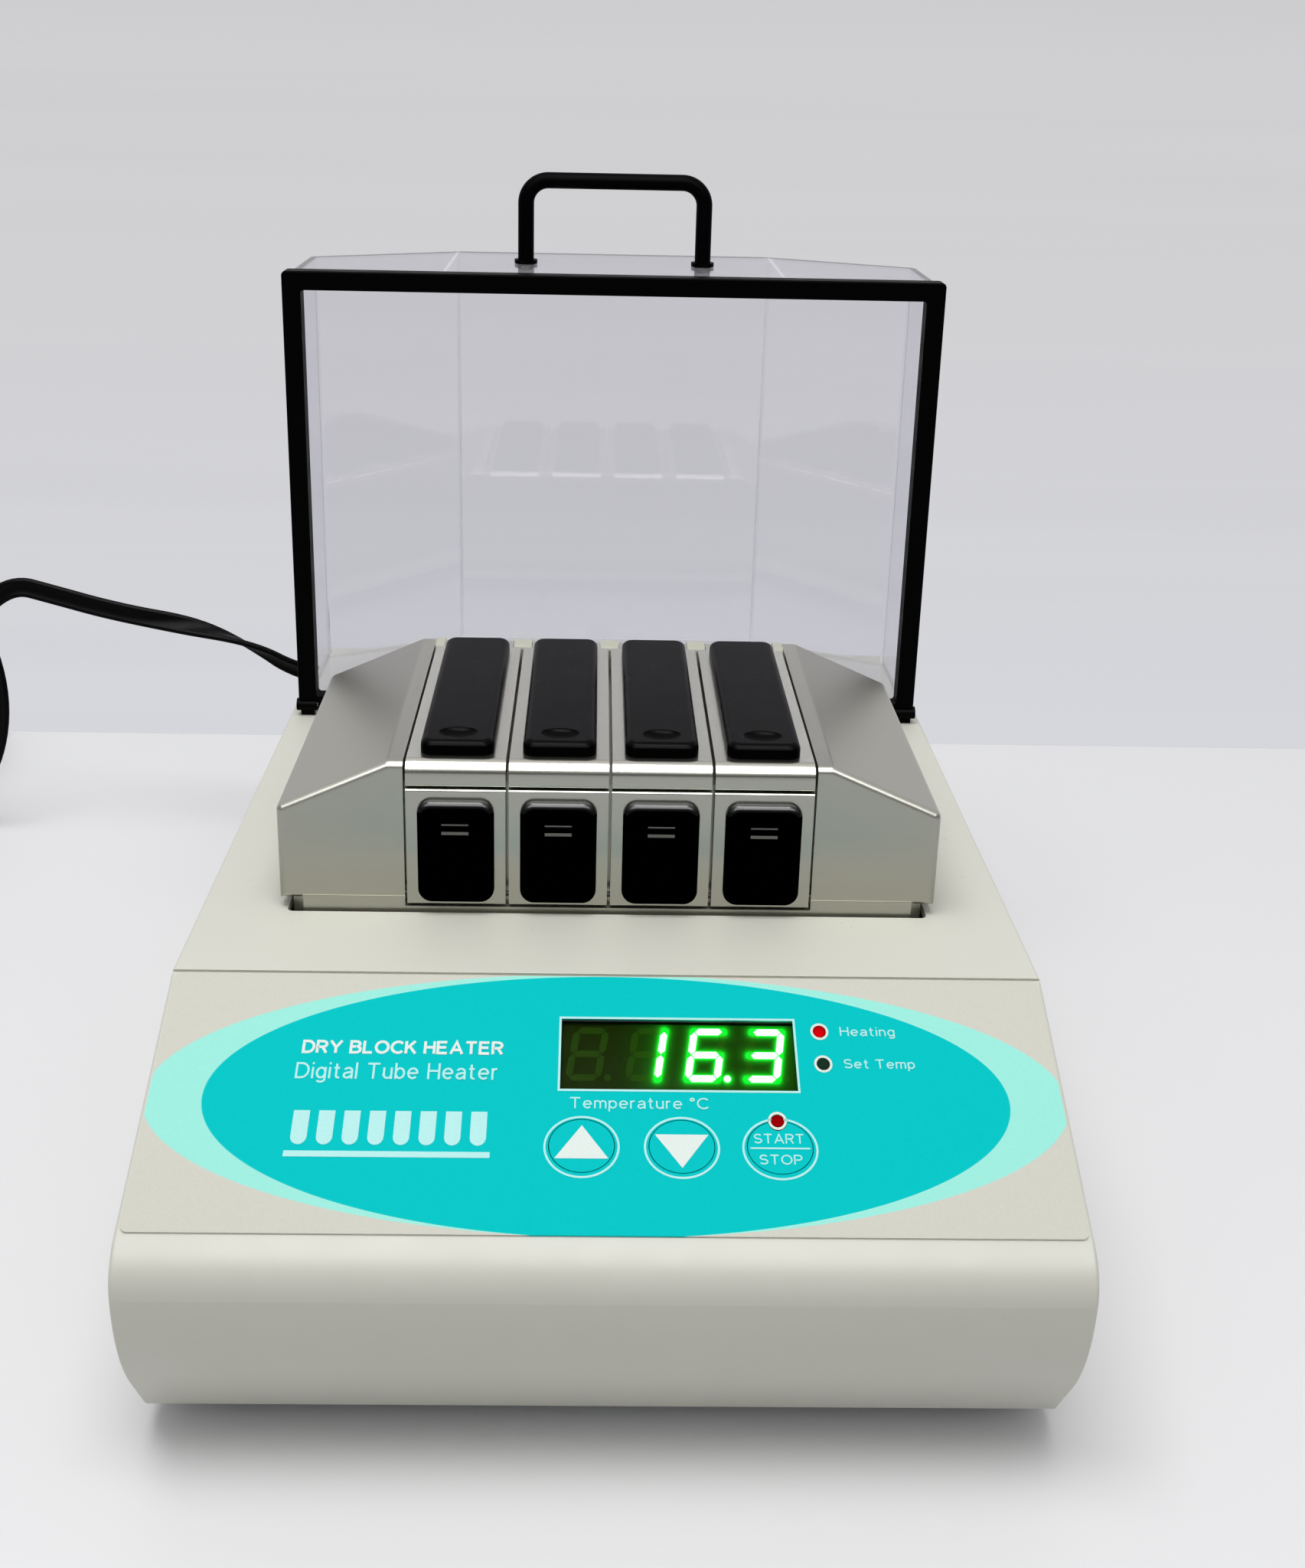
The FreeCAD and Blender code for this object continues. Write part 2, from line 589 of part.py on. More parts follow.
def cord_connector():
    x, z = INLET
    y = CASE_REAR + 2.7
    nose = front_prism([(x - 11.7, z - 7.7, 1), (x + 11.7, z - 7.7, 1), (x + 11.7, z + 3.9, 1),
                        (x + 7.9, z + 7.7, 1), (x - 7.9, z + 7.7, 1), (x - 11.7, z + 3.9, 1)], 122, y)
    slots = [box(x + px - 1.3, x + px + 1.3, 120, 136, z + pz - 2.3, z + pz + 2.3)
             for px, pz in ((-7, -1.5), (7, -1.5), (0, 2.5))]
    grip = front_prism([(x - 13, z - 9.5, 3), (x + 13, z - 9.5, 3), (x + 13, z + 9.5, 3),
                        (x - 13, z + 9.5, 3)], y, y + 22)
    grip = round_edges(grip, 2, lambda e: all_at(e, lambda p: p.y > y + 21.9))
    sleeve = Part.makeCone(5.5, 4.0, 14, Vector(x, y + 21, z), Vector(0, 1, 0))
    bore = rod((x, y + 24, z), (x, y + 40, z), CORD_RADIUS + 0.1)
    return cut(fused([nose, grip, sleeve]), slots + [bore])


CORD_START_Y = CASE_REAR + 2.7 + 24
PLUG_X, PLUG_Z, PLUG_Y = -272.0, 11.0, 196.0
CORD_PATH = [
    (INLET[0], CORD_START_Y, INLET[1]),
    (INLET[0], 192, INLET[1]),
    (-92, 188, 50),
    (-117, 165, 66.5),
    (-131, 162, 77),
    (-150, 160, 85),
    (-182, 160, 91),
    (-205, 159, 98),
    (-218, 158, 102),
    (-233, 159, 90),
    (-226, 160, 56),
    (-234, 160, 24),
    (-252, 162, PLUG_Z),
    (PLUG_X, 164, PLUG_Z),
    (PLUG_X, PLUG_Y, PLUG_Z),
]
CORD_BEND = 11.0


def power_cord():
    points = [Vector(*point) for point in CORD_PATH]
    arcs = [corner_arc(a, b, c, CORD_BEND) for a, b, c in zip(points, points[1:], points[2:])]
    ends = [points[0]] + [point for arc in arcs for point in (arc[0], arc[2])] + [points[-1]]
    edges = []
    for i, arc in enumerate(arcs):
        edges.append(Part.makeLine(ends[2 * i], ends[2 * i + 1]))
        edges.append(Part.Arc(*arc).toShape())
    edges.append(Part.makeLine(ends[-2], ends[-1]))
    circle = Part.Wire(Part.makeCircle(CORD_RADIUS, points[0], points[1] - points[0]))
    return Part.Wire(edges).makePipeShell([circle], True, False)


def mains_plug():
    body = front_prism([(PLUG_X - 11, 0.5, 5), (PLUG_X + 11, 0.5, 5), (PLUG_X + 11, 21.5, 5),
                        (PLUG_X - 11, 21.5, 5)], PLUG_Y + 8, PLUG_Y + 34)
    body = round_edges(body, 1.5, lambda e: all_at(e, lambda p: p.y < PLUG_Y + 8.01))
    neck = Part.makeCone(4.5, 7.5, 12, Vector(PLUG_X, PLUG_Y - 3, PLUG_Z), Vector(0, 1, 0))
    pins = [rod((PLUG_X + px, PLUG_Y + 30, PLUG_Z), (PLUG_X + px, PLUG_Y + 52, PLUG_Z), 2.4)
            for px in (-9.5 * 0.8, 9.5 * 0.8)]
    bore = rod((PLUG_X, PLUG_Y - 10, PLUG_Z), (PLUG_X, PLUG_Y + 0.2, PLUG_Z), CORD_RADIUS + 0.1)
    return fused([body, neck] + pins).cut(bore)


# ---- cover --------------------------------------------------------------
def cover_plan(inset):
    """Plan outline of the open cover; inset moves the walls inwards."""
    half = COVER_HALF_WIDTH - 1.0 - inset
    lean = math.atan2(COVER_REAR - COVER_SIDE_REAR, COVER_HALF_WIDTH - COVER_FLAT_HALF_WIDTH)
    side_rear = COVER_SIDE_REAR - inset * math.tan(lean / 2 + math.pi / 4 - lean / 2) * 0.35
    flat_half = COVER_FLAT_HALF_WIDTH - inset * math.tan(lean / 2)
    front = COVER_FRONT + 2.1 - (10 if inset else 0)
    bend = 2.5 if not inset else 1.0
    return [(-half, front, 0), (half, front, 0), (half, side_rear, bend),
            (flat_half, COVER_REAR - inset, bend), (-flat_half, COVER_REAR - inset, bend),
            (-half, side_rear, bend)]


def hinge_corner(side):
    x0, x1 = sorted((side * 84.0, side * 100.0))
    return box(x0, x1, 70, COVER_FRONT + RIM_DEPTH + 0.1, 88, COVER_Z[0] + RIM_BAR)


def cover_shell():
    z0, z1 = COVER_Z[0] + 1.0, COVER_Z[1] - 1.0
    outer = plan_prism(cover_plan(0), z0, z1)
    outer = round_edges(outer, 1.2, lambda e: all_at(e, lambda p: p.y > COVER_FRONT + 3)
                        and (all_at(e, lambda p: p.z < z0 + 0.01) or all_at(e, lambda p: p.z > z1 - 0.01)))
    inner = plan_prism(cover_plan(COVER_WALL), z0 + COVER_WALL, z1 - COVER_WALL)
    holes = [rod((x, HANDLE_Y, z1 - 5), (x, HANDLE_Y, z1 + 5), SCREW_RADIUS + SCREW_CLEARANCE)
             for x in (-HANDLE_LEG_X, HANDLE_LEG_X)]
    return cut(outer, [inner] + holes + [hinge_corner(-1), hinge_corner(1)])


def cover_rim():
    z0, z1 = COVER_Z
    y0, y1 = COVER_FRONT, COVER_FRONT + RIM_DEPTH
    half = COVER_HALF_WIDTH
    frame = front_prism([(-half, z0, 0), (half, z0, 0), (half, z1, 1.5), (-half, z1, 1.5)], y0, y1)
    inner_half = half - RIM_BAR
    opening = front_prism([(-inner_half, z0 + 5.0, 1.0), (inner_half, z0 + 5.0, 1.0),
                           (inner_half, z1 - RIM_BAR, 1.0), (-inner_half, z1 - RIM_BAR, 1.0)],
                          y0 - 1, y1 + 1)
    groove_outer = box(-half + 0.95, half - 0.95, y0 + 2.05, y1 + 1, z0 + 0.95, z1 - 0.95)
    groove_inner = box(-half + 3.55, half - 3.55, y0, y1 + 2, z0 + 3.55, z1 - 3.55)
    groove = cut(groove_outer, [groove_inner, hinge_corner(-1), hinge_corner(1)])
    pivot_y, pivot_z = COVER_PIVOT
    notches, bores = [], []
    for side in (-1, 1):
        x0, x1 = sorted((side * 92.4, side * 100))
        notches.append(box(x0, x1, y0 - 1, y1 + 1, z0 - 1, pivot_z + 2.2))
        bores.append(rod((side * 86, pivot_y, pivot_z), (side * 95, pivot_y, pivot_z), 1.05))
    frame = cut(frame, [opening, groove] + notches + bores)
    return round_edges(frame, 0.5, lambda e: e.Length > 100 and all_at(
        e, lambda p: p.y < y0 + 0.01 and (abs(p.x) > half - 0.01 or p.z > z1 - 0.01)))


def cover_handle():
    top = COVER_Z[1] - 1.0
    corners = [(-HANDLE_LEG_X, top), (-HANDLE_LEG_X, HANDLE_Z), (HANDLE_LEG_X, HANDLE_Z), (HANDLE_LEG_X, top)]
    points = [Vector(x, HANDLE_Y, z) for x, z in corners]
    left = corner_arc(points[0], points[1], points[2], HANDLE_BEND)
    right = corner_arc(points[1], points[2], points[3], HANDLE_BEND)
    spine = Part.Wire([
        Part.makeLine(points[0], left[0]), Part.Arc(*left).toShape(),
        Part.makeLine(left[2], right[0]), Part.Arc(*right).toShape(),
        Part.makeLine(right[2], points[3])])
    circle = Part.Wire(Part.makeCircle(HANDLE_RADIUS, points[0], Vector(0, 0, 1)))
    bar = spine.makePipeShell([circle], True, True)
    bores = [rod((x, HANDLE_Y, top - 1), (x, HANDLE_Y, top + 9), SCREW_RADIUS + SCREW_CLEARANCE)
             for x in (-HANDLE_LEG_X, HANDLE_LEG_X)]
    collars = [rod((x, HANDLE_Y, top), (x, HANDLE_Y, top + 1.2), 3.6) for x in (-HANDLE_LEG_X, HANDLE_LEG_X)]
    return cut(fused([bar] + collars), bores)


def handle_screws():
    seat = COVER_Z[1] - 1.0 - COVER_WALL
    return Part.makeCompound([pan_screw(x, HANDLE_Y, seat, 10) for x in (-HANDLE_LEG_X, HANDLE_LEG_X)])


def hinge_brackets():
    pivot_y, pivot_z = COVER_PIVOT
    brackets = []
    for side in (-1, 1):
        x0, x1 = sorted((side * 92.7, side * 99.2))
        knuckle = rod((x0, pivot_y, pivot_z), (x1, pivot_y, pivot_z), 2.0)
        leg = box(x0 + 1.2, x1 - 1.2, pivot_y - 0.6, pivot_y + 2.0, DECK_Z, pivot_z)
        bore = rod((x0 - 1, pivot_y, pivot_z), (x1 + 1, pivot_y, pivot_z), 1.05)
        brackets.append(fused([knuckle, leg]).cut(bore))
    return Part.makeCompound(brackets)


def hinge_pins():
    pivot_y, pivot_z = COVER_PIVOT
    return Part.makeCompound([
        rod((side * 87, pivot_y, pivot_z), (side * 99, pivot_y, pivot_z), 1.0) for side in (-1, 1)])


# ---- heated block with lids and latches --------------------------------
def tube_well(x, y):
    cone = Part.makeCone(1.4, 3.1, 15, Vector(x, y, BLOCK_TOP - 15))
    return cone.fuse(Part.makeSphere(1.4, Vector(x, y, BLOCK_TOP - 15)))


def insert_block():
    lower_half = WELL_HALF_WIDTH - 1.0
    lower = box(-lower_half, lower_half, BLOCK_FRONT, BLOCK_REAR, WELL_FLOOR + 0.1, SHOULDER_BOTTOM + 1)
    lower = lower.makeChamfer(3, [e for e in lower.Edges if abs(e.Vertexes[0].Z - e.Vertexes[-1].Z) > 1])
    half = BLOCK_HALF_WIDTH
    upper = front_prism([(-half, SHOULDER_BOTTOM, 0), (half, SHOULDER_BOTTOM, 0), (half, SHOULDER_SIDE_TOP, 2),
                         (SHOULDER_TOP_X, SHOULDER_TOP, 2), (-SHOULDER_TOP_X, SHOULDER_TOP, 2),
                         (-half, SHOULDER_SIDE_TOP, 2)], BLOCK_FRONT, BLOCK_REAR)
    upper = round_edges(upper, SHOULDER_ROUND, lambda e: all_at(e, lambda p: abs(p.y - BLOCK_FRONT) < 0.01)
                        or all_at(e, lambda p: abs(p.y - BLOCK_REAR) < 0.01))
    channel = box(-CHANNEL_HALF_WIDTH, CHANNEL_HALF_WIDTH, -60, 60, BLOCK_TOP, 140)
    front_recess = box(-CHANNEL_HALF_WIDTH, CHANNEL_HALF_WIDTH, -60, BLOCK_FRONT + 3.6, 89.2, 140)
    wells = [tube_well(x + dx, row * 9.0 - 38.0)
             for x in MODULE_CENTRES for dx in (-4.5, 4.5) for row in range(8)]
    end = CHANNEL_HALF_WIDTH + 2.5
    rods = [rod((-end, *LID_PIVOT), (end, *LID_PIVOT), 1.05),
            rod((-end, *LATCH_PIVOT), (end, *LATCH_PIVOT), 0.75)]
    return cut(fused([lower, upper]), [channel, front_recess] + wells + rods)


def lid_hinge_tabs():
    pivot_y, pivot_z = LID_PIVOT
    tabs = []
    limit = CHANNEL_HALF_WIDTH - 0.02
    for x in GAP_LINES:
        x0 = max(x - TAB_WIDTH / 2, -limit)
        x1 = min(x + TAB_WIDTH / 2, limit)
        tab = side_prism([(pivot_y - 3.3, BLOCK_TOP, 0), (pivot_y - 3.3, SHOULDER_TOP, 1.5),
                          (pivot_y + 3.3, SHOULDER_TOP, 1.5), (pivot_y + 3.3, BLOCK_TOP - 8, 0),
                          (BLOCK_REAR, BLOCK_TOP - 8, 0), (BLOCK_REAR, BLOCK_TOP, 0)], x0, x1)
        tabs.append(tab.cut(rod((x0 - 1, pivot_y, pivot_z), (x1 + 1, pivot_y, pivot_z), 1.05)))
    return Part.makeCompound(tabs)


def lid_hinge_rod():
    end = CHANNEL_HALF_WIDTH + 2.3
    return rod((-end, *LID_PIVOT), (end, *LID_PIVOT), 1.0)


def latch_pivot_rod():
    end = CHANNEL_HALF_WIDTH + 2.3
    return rod((-end, *LATCH_PIVOT), (end, *LATCH_PIVOT), 0.7)


def tube_lid(x):
    half = (MODULE_PITCH - MODULE_GAP) / 2
    pivot_y, pivot_z = LID_PIVOT
    body = side_prism([(BLOCK_FRONT, LID_NOSE_BOTTOM, 0.5), (BLOCK_FRONT, SHOULDER_TOP, LID_NOSE_RADIUS),
                       (pivot_y, SHOULDER_TOP - 0.1, 0), (pivot_y, LID_BOTTOM, 0),
                       (BLOCK_FRONT + 3.0, LID_BOTTOM, 0)], x - half, x + half)
    knuckle = rod((x - half, pivot_y, pivot_z), (x + half, pivot_y, pivot_z), LID_KNUCKLE_RADIUS)
    notches = []
    for side in (-1, 1):
        x0, x1 = sorted((x + side * (half + 1), x + side * (MODULE_PITCH / 2 - TAB_WIDTH / 2 - 0.15)))
        notches.append(box(x0, x1, pivot_y - 4.6, pivot_y + 5, 118, 132))
    bore = rod((x - half - 1, pivot_y, pivot_z), (x + half + 1, pivot_y, pivot_z), 1.06)
    recess = plan_prism(rounded_plan(x - 9.3, x + 9.3, -42.5, 29.5, 3), LID_BOTTOM - 1, LID_BOTTOM + 2.4)
    return cut(fused([body, knuckle]), notches + [bore, recess])


def lid_grip(x):
    base = SHOULDER_TOP
    pad = plan_prism(rounded_plan(x - GRIP_HALF_WIDTH, x + GRIP_HALF_WIDTH, *GRIP_Y, GRIP_CORNER),
                     base, base + GRIP_HEIGHT)
    pad = round_edges(pad, GRIP_ROUND, lambda e: all_at(e, lambda p: p.z > base + GRIP_HEIGHT - 0.01))
    dimple = Part.makeSphere(1, Vector(0, 0, 0))
    stretch = FreeCAD.Matrix()
    stretch.scale(4.9, 3.2, 1.5)
    dimple = dimple.transformGeometry(stretch)
    dimple.translate(Vector(x, GRIP_Y[0] + 6.2, base + GRIP_HEIGHT + 0.2))
    return pad.cut(dimple)


def latch_plate(x):
    half = (MODULE_PITCH - MODULE_GAP) / 2
    y0, y1 = LATCH_Y
    plate = side_prism([(y0, LATCH_Z[0], 0.8), (y0, LATCH_Z[1], 0.5), (y1, LATCH_Z[1], 0),
                        (y1, LATCH_Z[0], 0.8)], x - half, x + half)
    return plate.cut(rod((x - half - 1, *LATCH_PIVOT), (x + half + 1, *LATCH_PIVOT), 0.76))


def latch_tile(x):
    y1 = LATCH_Y[0]
    y0 = y1 - TILE_DEPTH
    z0, z1 = TILE_Z
    tile = front_prism(rounded_plan(x - TILE_HALF_WIDTH, x + TILE_HALF_WIDTH, z0, z1, TILE_CORNER), y0, y1)
    tile = round_edges(tile, TILE_ROUND, lambda e: all_at(e, lambda p: p.y < y0 + 0.01))
    grooves = [rod((x - 3.3, y0 - 0.15, z1 - drop), (x + 3.3, y0 - 0.15, z1 - drop), radius)
               for drop, radius in TILE_GROOVES]
    return cut(tile, grooves)


def export(name, shape):
    shape.exportStep("parts/" + name + ".step")


def main():
    os.makedirs("parts", exist_ok=True)
    builders = [
        top_housing, base_plate, rubber_feet, housing_screws, rear_panel, panel_overlay, display_window,
        digit_display, display_board, tact_switches, indicator_leds, board_standoffs, board_screws,
        block_well, heater_mat, insulation_jacket, well_standoffs, temperature_probe, thermal_cutoff,
        internal_wires, control_board, terminal_block, power_relay, transformer, ribbon_cable,
        power_inlet, power_switch_body, power_rocker, cord_connector, power_cord, mains_plug,
        cover_shell, cover_rim, cover_handle, handle_screws, hinge_brackets, hinge_pins,
        insert_block, lid_hinge_tabs, lid_hinge_rod, latch_pivot_rod,
    ]
    for builder in builders:
        export(builder.__name__, builder())
    for name, (x, u) in KEY_CENTRES.items():
        export(name, key_cap(x, u))
    for number, x in enumerate(MODULE_CENTRES, start=1):
        export(f"tube_lid_{number}", tube_lid(x))
        export(f"lid_grip_{number}", lid_grip(x))
        export(f"latch_plate_{number}", latch_plate(x))
        export(f"latch_tile_{number}", latch_tile(x))


main()
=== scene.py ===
import json
import math

import bmesh
import bpy
from mathutils import Matrix, Vector


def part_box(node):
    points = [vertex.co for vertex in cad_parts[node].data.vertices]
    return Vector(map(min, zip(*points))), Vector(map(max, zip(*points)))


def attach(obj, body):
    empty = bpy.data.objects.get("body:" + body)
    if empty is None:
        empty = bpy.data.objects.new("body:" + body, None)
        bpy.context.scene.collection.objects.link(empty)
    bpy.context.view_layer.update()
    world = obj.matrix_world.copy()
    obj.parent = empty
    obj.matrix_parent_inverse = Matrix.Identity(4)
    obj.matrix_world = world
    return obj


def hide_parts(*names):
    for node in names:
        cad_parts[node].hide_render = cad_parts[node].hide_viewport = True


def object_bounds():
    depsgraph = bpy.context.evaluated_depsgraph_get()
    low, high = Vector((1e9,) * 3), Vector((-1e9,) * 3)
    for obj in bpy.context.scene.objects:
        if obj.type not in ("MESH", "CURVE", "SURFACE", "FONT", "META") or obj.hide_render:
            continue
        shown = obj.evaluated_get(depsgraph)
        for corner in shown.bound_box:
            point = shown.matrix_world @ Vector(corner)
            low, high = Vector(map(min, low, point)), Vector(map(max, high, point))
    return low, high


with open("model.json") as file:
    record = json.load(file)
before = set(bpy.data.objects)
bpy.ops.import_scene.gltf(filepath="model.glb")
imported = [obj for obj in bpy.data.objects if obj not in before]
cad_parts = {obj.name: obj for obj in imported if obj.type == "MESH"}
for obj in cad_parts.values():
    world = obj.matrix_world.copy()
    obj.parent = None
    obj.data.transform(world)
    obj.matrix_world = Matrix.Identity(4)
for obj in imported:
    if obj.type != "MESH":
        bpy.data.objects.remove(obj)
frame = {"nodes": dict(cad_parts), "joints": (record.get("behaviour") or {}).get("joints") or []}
CAD_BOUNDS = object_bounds()

# Looks of the dry block heater. Lengths are in metres, written as a count of MM.
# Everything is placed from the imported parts: the sloping panel's own directions
# come from the key joints, and its middle comes from the overlay's box.

MM = 0.001
OVERLAY_THICKNESS = 0.5 * MM
PRINT_HEIGHT = 0.06 * MM
PRINT_LIFT = 0.01 * MM

# Sizes on the panel are in millimetres.
WINDOW_LIP = 0.9
WINDOW_HEIGHT = 17.0
DISPLAY_BORDER = 0.5
DIGIT_HEIGHT = 13.0
DIGIT_WIDTH = 8.1
DIGIT_PITCH = 13.35
DIGIT_SHIFT = -0.4
DIGIT_RISE = 0.75
DIGIT_SLANT = math.radians(9)
SEGMENT_WIDTH = 1.6
SEGMENT_GAP = 0.16
SEGMENT_THICKNESS = 0.12
SEGMENT_DEPTH = 1.2 * MM
POINT_RADIUS = 0.8
POINT_OFFSET = 1.5
DISPLAY_TEXT = " 16.3"
FACE_HALF = (26.4, 8.2)
FACE_CELLS = (160, 50)
FACE_GAP = 0.06 * MM
GLOW_CORE, GLOW_CORE_REACH = 1.3, 0.38
GLOW_HALO, GLOW_HALO_REACH = 0.10, 3.0

RING_HALF = (8.2, 6.9)
RING_LINE = 0.46
RING_DROP = 0.5
ARROW_WIDTH = 11.6
ARROW_HEIGHT = 7.4
UP_ARROW_RISE = 0.6
DOWN_ARROW_DROP = 1.3
DIVIDER_SIZE = (12.9, 0.35)
DIVIDER_DROP = 0.4

# Text, width, capital height, line, and the offset across and up from where it is anchored.
PRINTED_LINES = {
    "caption_temperature": ("Temperature °C", 30.6, 2.6, 0.32, -8.9, -11.7),
    "caption_heating": ("Heating", 12.5, 2.2, 0.31, 10.9, 0.1),
    "caption_set": ("Set Temp", 15.9, 2.2, 0.31, 12.6, 0.1),
    "title_type": ("DRY BLOCK HEATER", 45.0, 3.0, 0.62, -46.0, 11.6),
    "title_note": ("Digital Tube Heater", 44.8, 3.8, 0.46, -46.8, 5.9),
    "caption_start": ("START", 10.9, 2.15, 0.3, -0.1, 1.75),
    "caption_stop": ("STOP", 9.2, 2.15, 0.3, 0.0, -2.9),
}

PICTOGRAM_SPOT = (-47.2, -8.0)
TUBE_COUNT = 8
TUBE_PITCH = 5.5
TUBE_HALF_WIDTH = 1.75
TUBE_TOP = 4.6
TUBE_BEND_HEIGHT = -1.3
TUBE_BEND_STEPS = 16
BAR_SIZE = (44.0, 1.3)
BAR_DROP = 5.1

LATCH_NUMBERS = range(1, 5)
LATCH_MARKS = ((5.9, 0.3), (8.2, 0.8))
MARK_WIDTH = 6.6
MARK_THICKNESS = 0.08
MARK_INSET = 0.06 * MM

LAMP_RADIUS = 1.4
LAMP_RING = 2.05
LAMP_RING_GAP = 0.1
LENS_DEPTH = 3.0
LENS_EDGE = 0.05
LENS_RISE = 0.5
LENS_STEPS = 8

COVER_BEND_X = 51.5

TEAL_HALF = (88.7, 30.2)
TEAL_RISE = -0.3
MINT_HALF = (101.7, 30.5)
MINT_RISE = 0.1

X_AXIS = Vector((1, 0, 0))
JOINT_AXIS = {joint["name"]: Vector(joint["axis"]) for joint in frame["joints"]}
PANEL_NORMAL = -JOINT_AXIS["up_key_press"].normalized()
PANEL_UP = PANEL_NORMAL.cross(X_AXIS)


def box_middle(node):
    low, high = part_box(node)
    return (low + high) / 2


PANEL_TOP = box_middle("panel_overlay") + PANEL_NORMAL * OVERLAY_THICKNESS / 2


def panel_spot(node):
    """Middle of a node in panel millimetres: x across and v up the slope from the panel's middle."""
    offset = box_middle(node) - PANEL_TOP
    return offset.x / MM, offset.dot(PANEL_UP) / MM


def panel_matrix(x, v, lift=0.0):
    """Places a piece drawn flat in millimetres at x, v on the panel, with z out of it."""
    origin = PANEL_TOP + X_AXIS * x * MM + PANEL_UP * v * MM + PANEL_NORMAL * lift
    turn = Matrix((X_AXIS, PANEL_UP, PANEL_NORMAL)).transposed().to_4x4()
    return Matrix.Translation(origin) @ turn @ Matrix.Scale(MM, 4)


DISPLAY_X, DISPLAY_V = panel_spot("display_window")
KEYS = {name: panel_spot(name) for name in ("up_key", "down_key", "start_stop_key")}
START_X, START_V = KEYS["start_stop_key"]
LAMPS = {
    "heating_lamp": (DISPLAY_X + 32.3, DISPLAY_V + 5.9),
    "set_lamp": (DISPLAY_X + 32.5, DISPLAY_V - 2.0),
    "start_lamp": (START_X - 0.2, START_V + 5.8),
}


# ---- materials ----------------------------------------------------------
def srgb(red, green, blue):
    """Linear colour from 0 to 255 display values."""
    def linear(value):
        value /= 255
        return value / 12.92 if value <= 0.04045 else ((value + 0.055) / 1.055) ** 2.4
    return (linear(red), linear(green), linear(blue), 1.0)


class Look:
    """A node material, built with short calls."""

    def __init__(self, name):
        self.material = bpy.data.materials.new(name)
        self.material.use_nodes = True
        self.tree = self.material.node_tree
        self.surface = self.tree.nodes["Principled BSDF"]
        self.output = self.tree.nodes["Material Output"]
        self.place = self.node("TexCoord").outputs["Object"]

    def node(self, kind, inputs=None, **settings):
        node = self.tree.nodes.new("ShaderNode" + kind)
        for key, value in settings.items():
            setattr(node, key, value)
        for key, value in (inputs or {}).items():
            self.put(node.inputs[key], value)
        return node

    def put(self, socket, value):
        if isinstance(value, bpy.types.NodeSocket):
            self.tree.links.new(value, socket)
        else:
            socket.default_value = value

    def set(self, **values):
        for key, value in values.items():
            self.put(self.surface.inputs[key.replace("_", " ")], value)

    def math(self, operation, a, b=0.0, c=0.0):
        return self.node("Math", {0: a, 1: b, 2: c}, operation=operation).outputs[0]

    def blend(self, factor, a, b):
        return self.node("Mix", {0: factor, 6: a, 7: b}, data_type="RGBA").outputs[2]

    def remap(self, value, low, high, to_low, to_high):
        inputs = {"Value": value, "From Min": low, "From Max": high, "To Min": to_low, "To Max": to_high}
        return self.node("MapRange", inputs).outputs["Result"]

    def noise(self, scale, detail=2.0, stretch=(1, 1, 1)):
        """Noise with the given number of grains per metre; stretch thins it along an axis."""
        point = self.node("Mapping", {"Vector": self.place, "Scale": stretch}).outputs["Vector"]
        inputs = {"Vector": point, "Scale": scale, "Detail": detail}
        return self.node("TexNoise", inputs).outputs["Fac"]

    def bump(self, height, distance, strength=1.0):
        inputs = {"Height": height, "Distance": distance, "Strength": strength}
        return self.node("Bump", inputs).outputs["Normal"]

    def upward(self):
        """How far the surface faces up: 1 on level tops, 0 on upright faces."""
        normal = self.node("NewGeometry").outputs["Normal"]
        return self.node("SeparateXYZ", {"Vector": normal}).outputs["Z"]

    def along(self, direction, origin):
        """Distance along a direction from an origin, in millimetres."""
        offset = self.node("VectorMath", {0: self.place, 1: origin}, operation="SUBTRACT").outputs[0]
        inputs = {0: offset, 1: direction / MM}
        return self.node("VectorMath", inputs, operation="DOT_PRODUCT").outputs["Value"]


def tinted(colour, amount):
    """A colour made lighter or darker by a factor."""
    return tuple(min(1.0, part * amount) for part in colour[:3]) + (1.0,)


def moulded(name, colour, roughness, grain=900.0, depth=0.02 * MM, spread=0.12, coat=0.0, shine=0.5):
    """Moulded plastic or rubber: fine grain, uneven sheen and a slight drift in colour."""
    look = Look(name)
    drift = look.noise(35.0, 3.0)
    shade = look.blend(drift, tinted(colour, 1 - spread), tinted(colour, 1 + spread))
    fine = look.noise(grain, 3.0)
    rough = look.remap(look.noise(120.0, 2.0), 0.3, 0.7, roughness * 0.85, roughness * 1.15)
    look.set(Base_Color=shade, Roughness=rough, Coat_Weight=coat, Coat_Roughness=0.12)
    look.set(Specular_IOR_Level=shine, Normal=look.bump(fine, depth, 0.6))
    return look.material


def painted_sheen_black(name, roughness, painted_sheen_low, painted_sheen_high, level=0.0, grain=500.0):
    """Black plastic with a painted sheen: its specular level grows from the low value on upright faces to the
    high value on tops, standing in for light from above.
    """
    look = Look(name)
    drift = look.noise(35.0, 3.0)
    dark, light = level * 0.8, level * 1.2
    shade = look.blend(drift, (dark, dark, dark, 1), (light, light, light, 1))
    rough = look.remap(look.noise(120.0, 2.0), 0.3, 0.7, roughness * 0.9, roughness * 1.1)
    look.set(Base_Color=shade, Roughness=rough)
    # Painted sheen: the specular level rises as the face turns up towards the overhead light.
    look.set(Specular_IOR_Level=look.remap(look.upward(), 0.1, 0.8, painted_sheen_low, painted_sheen_high))
    look.set(Normal=look.bump(look.noise(grain, 2.0), 0.004 * MM, 0.5))
    return look.material


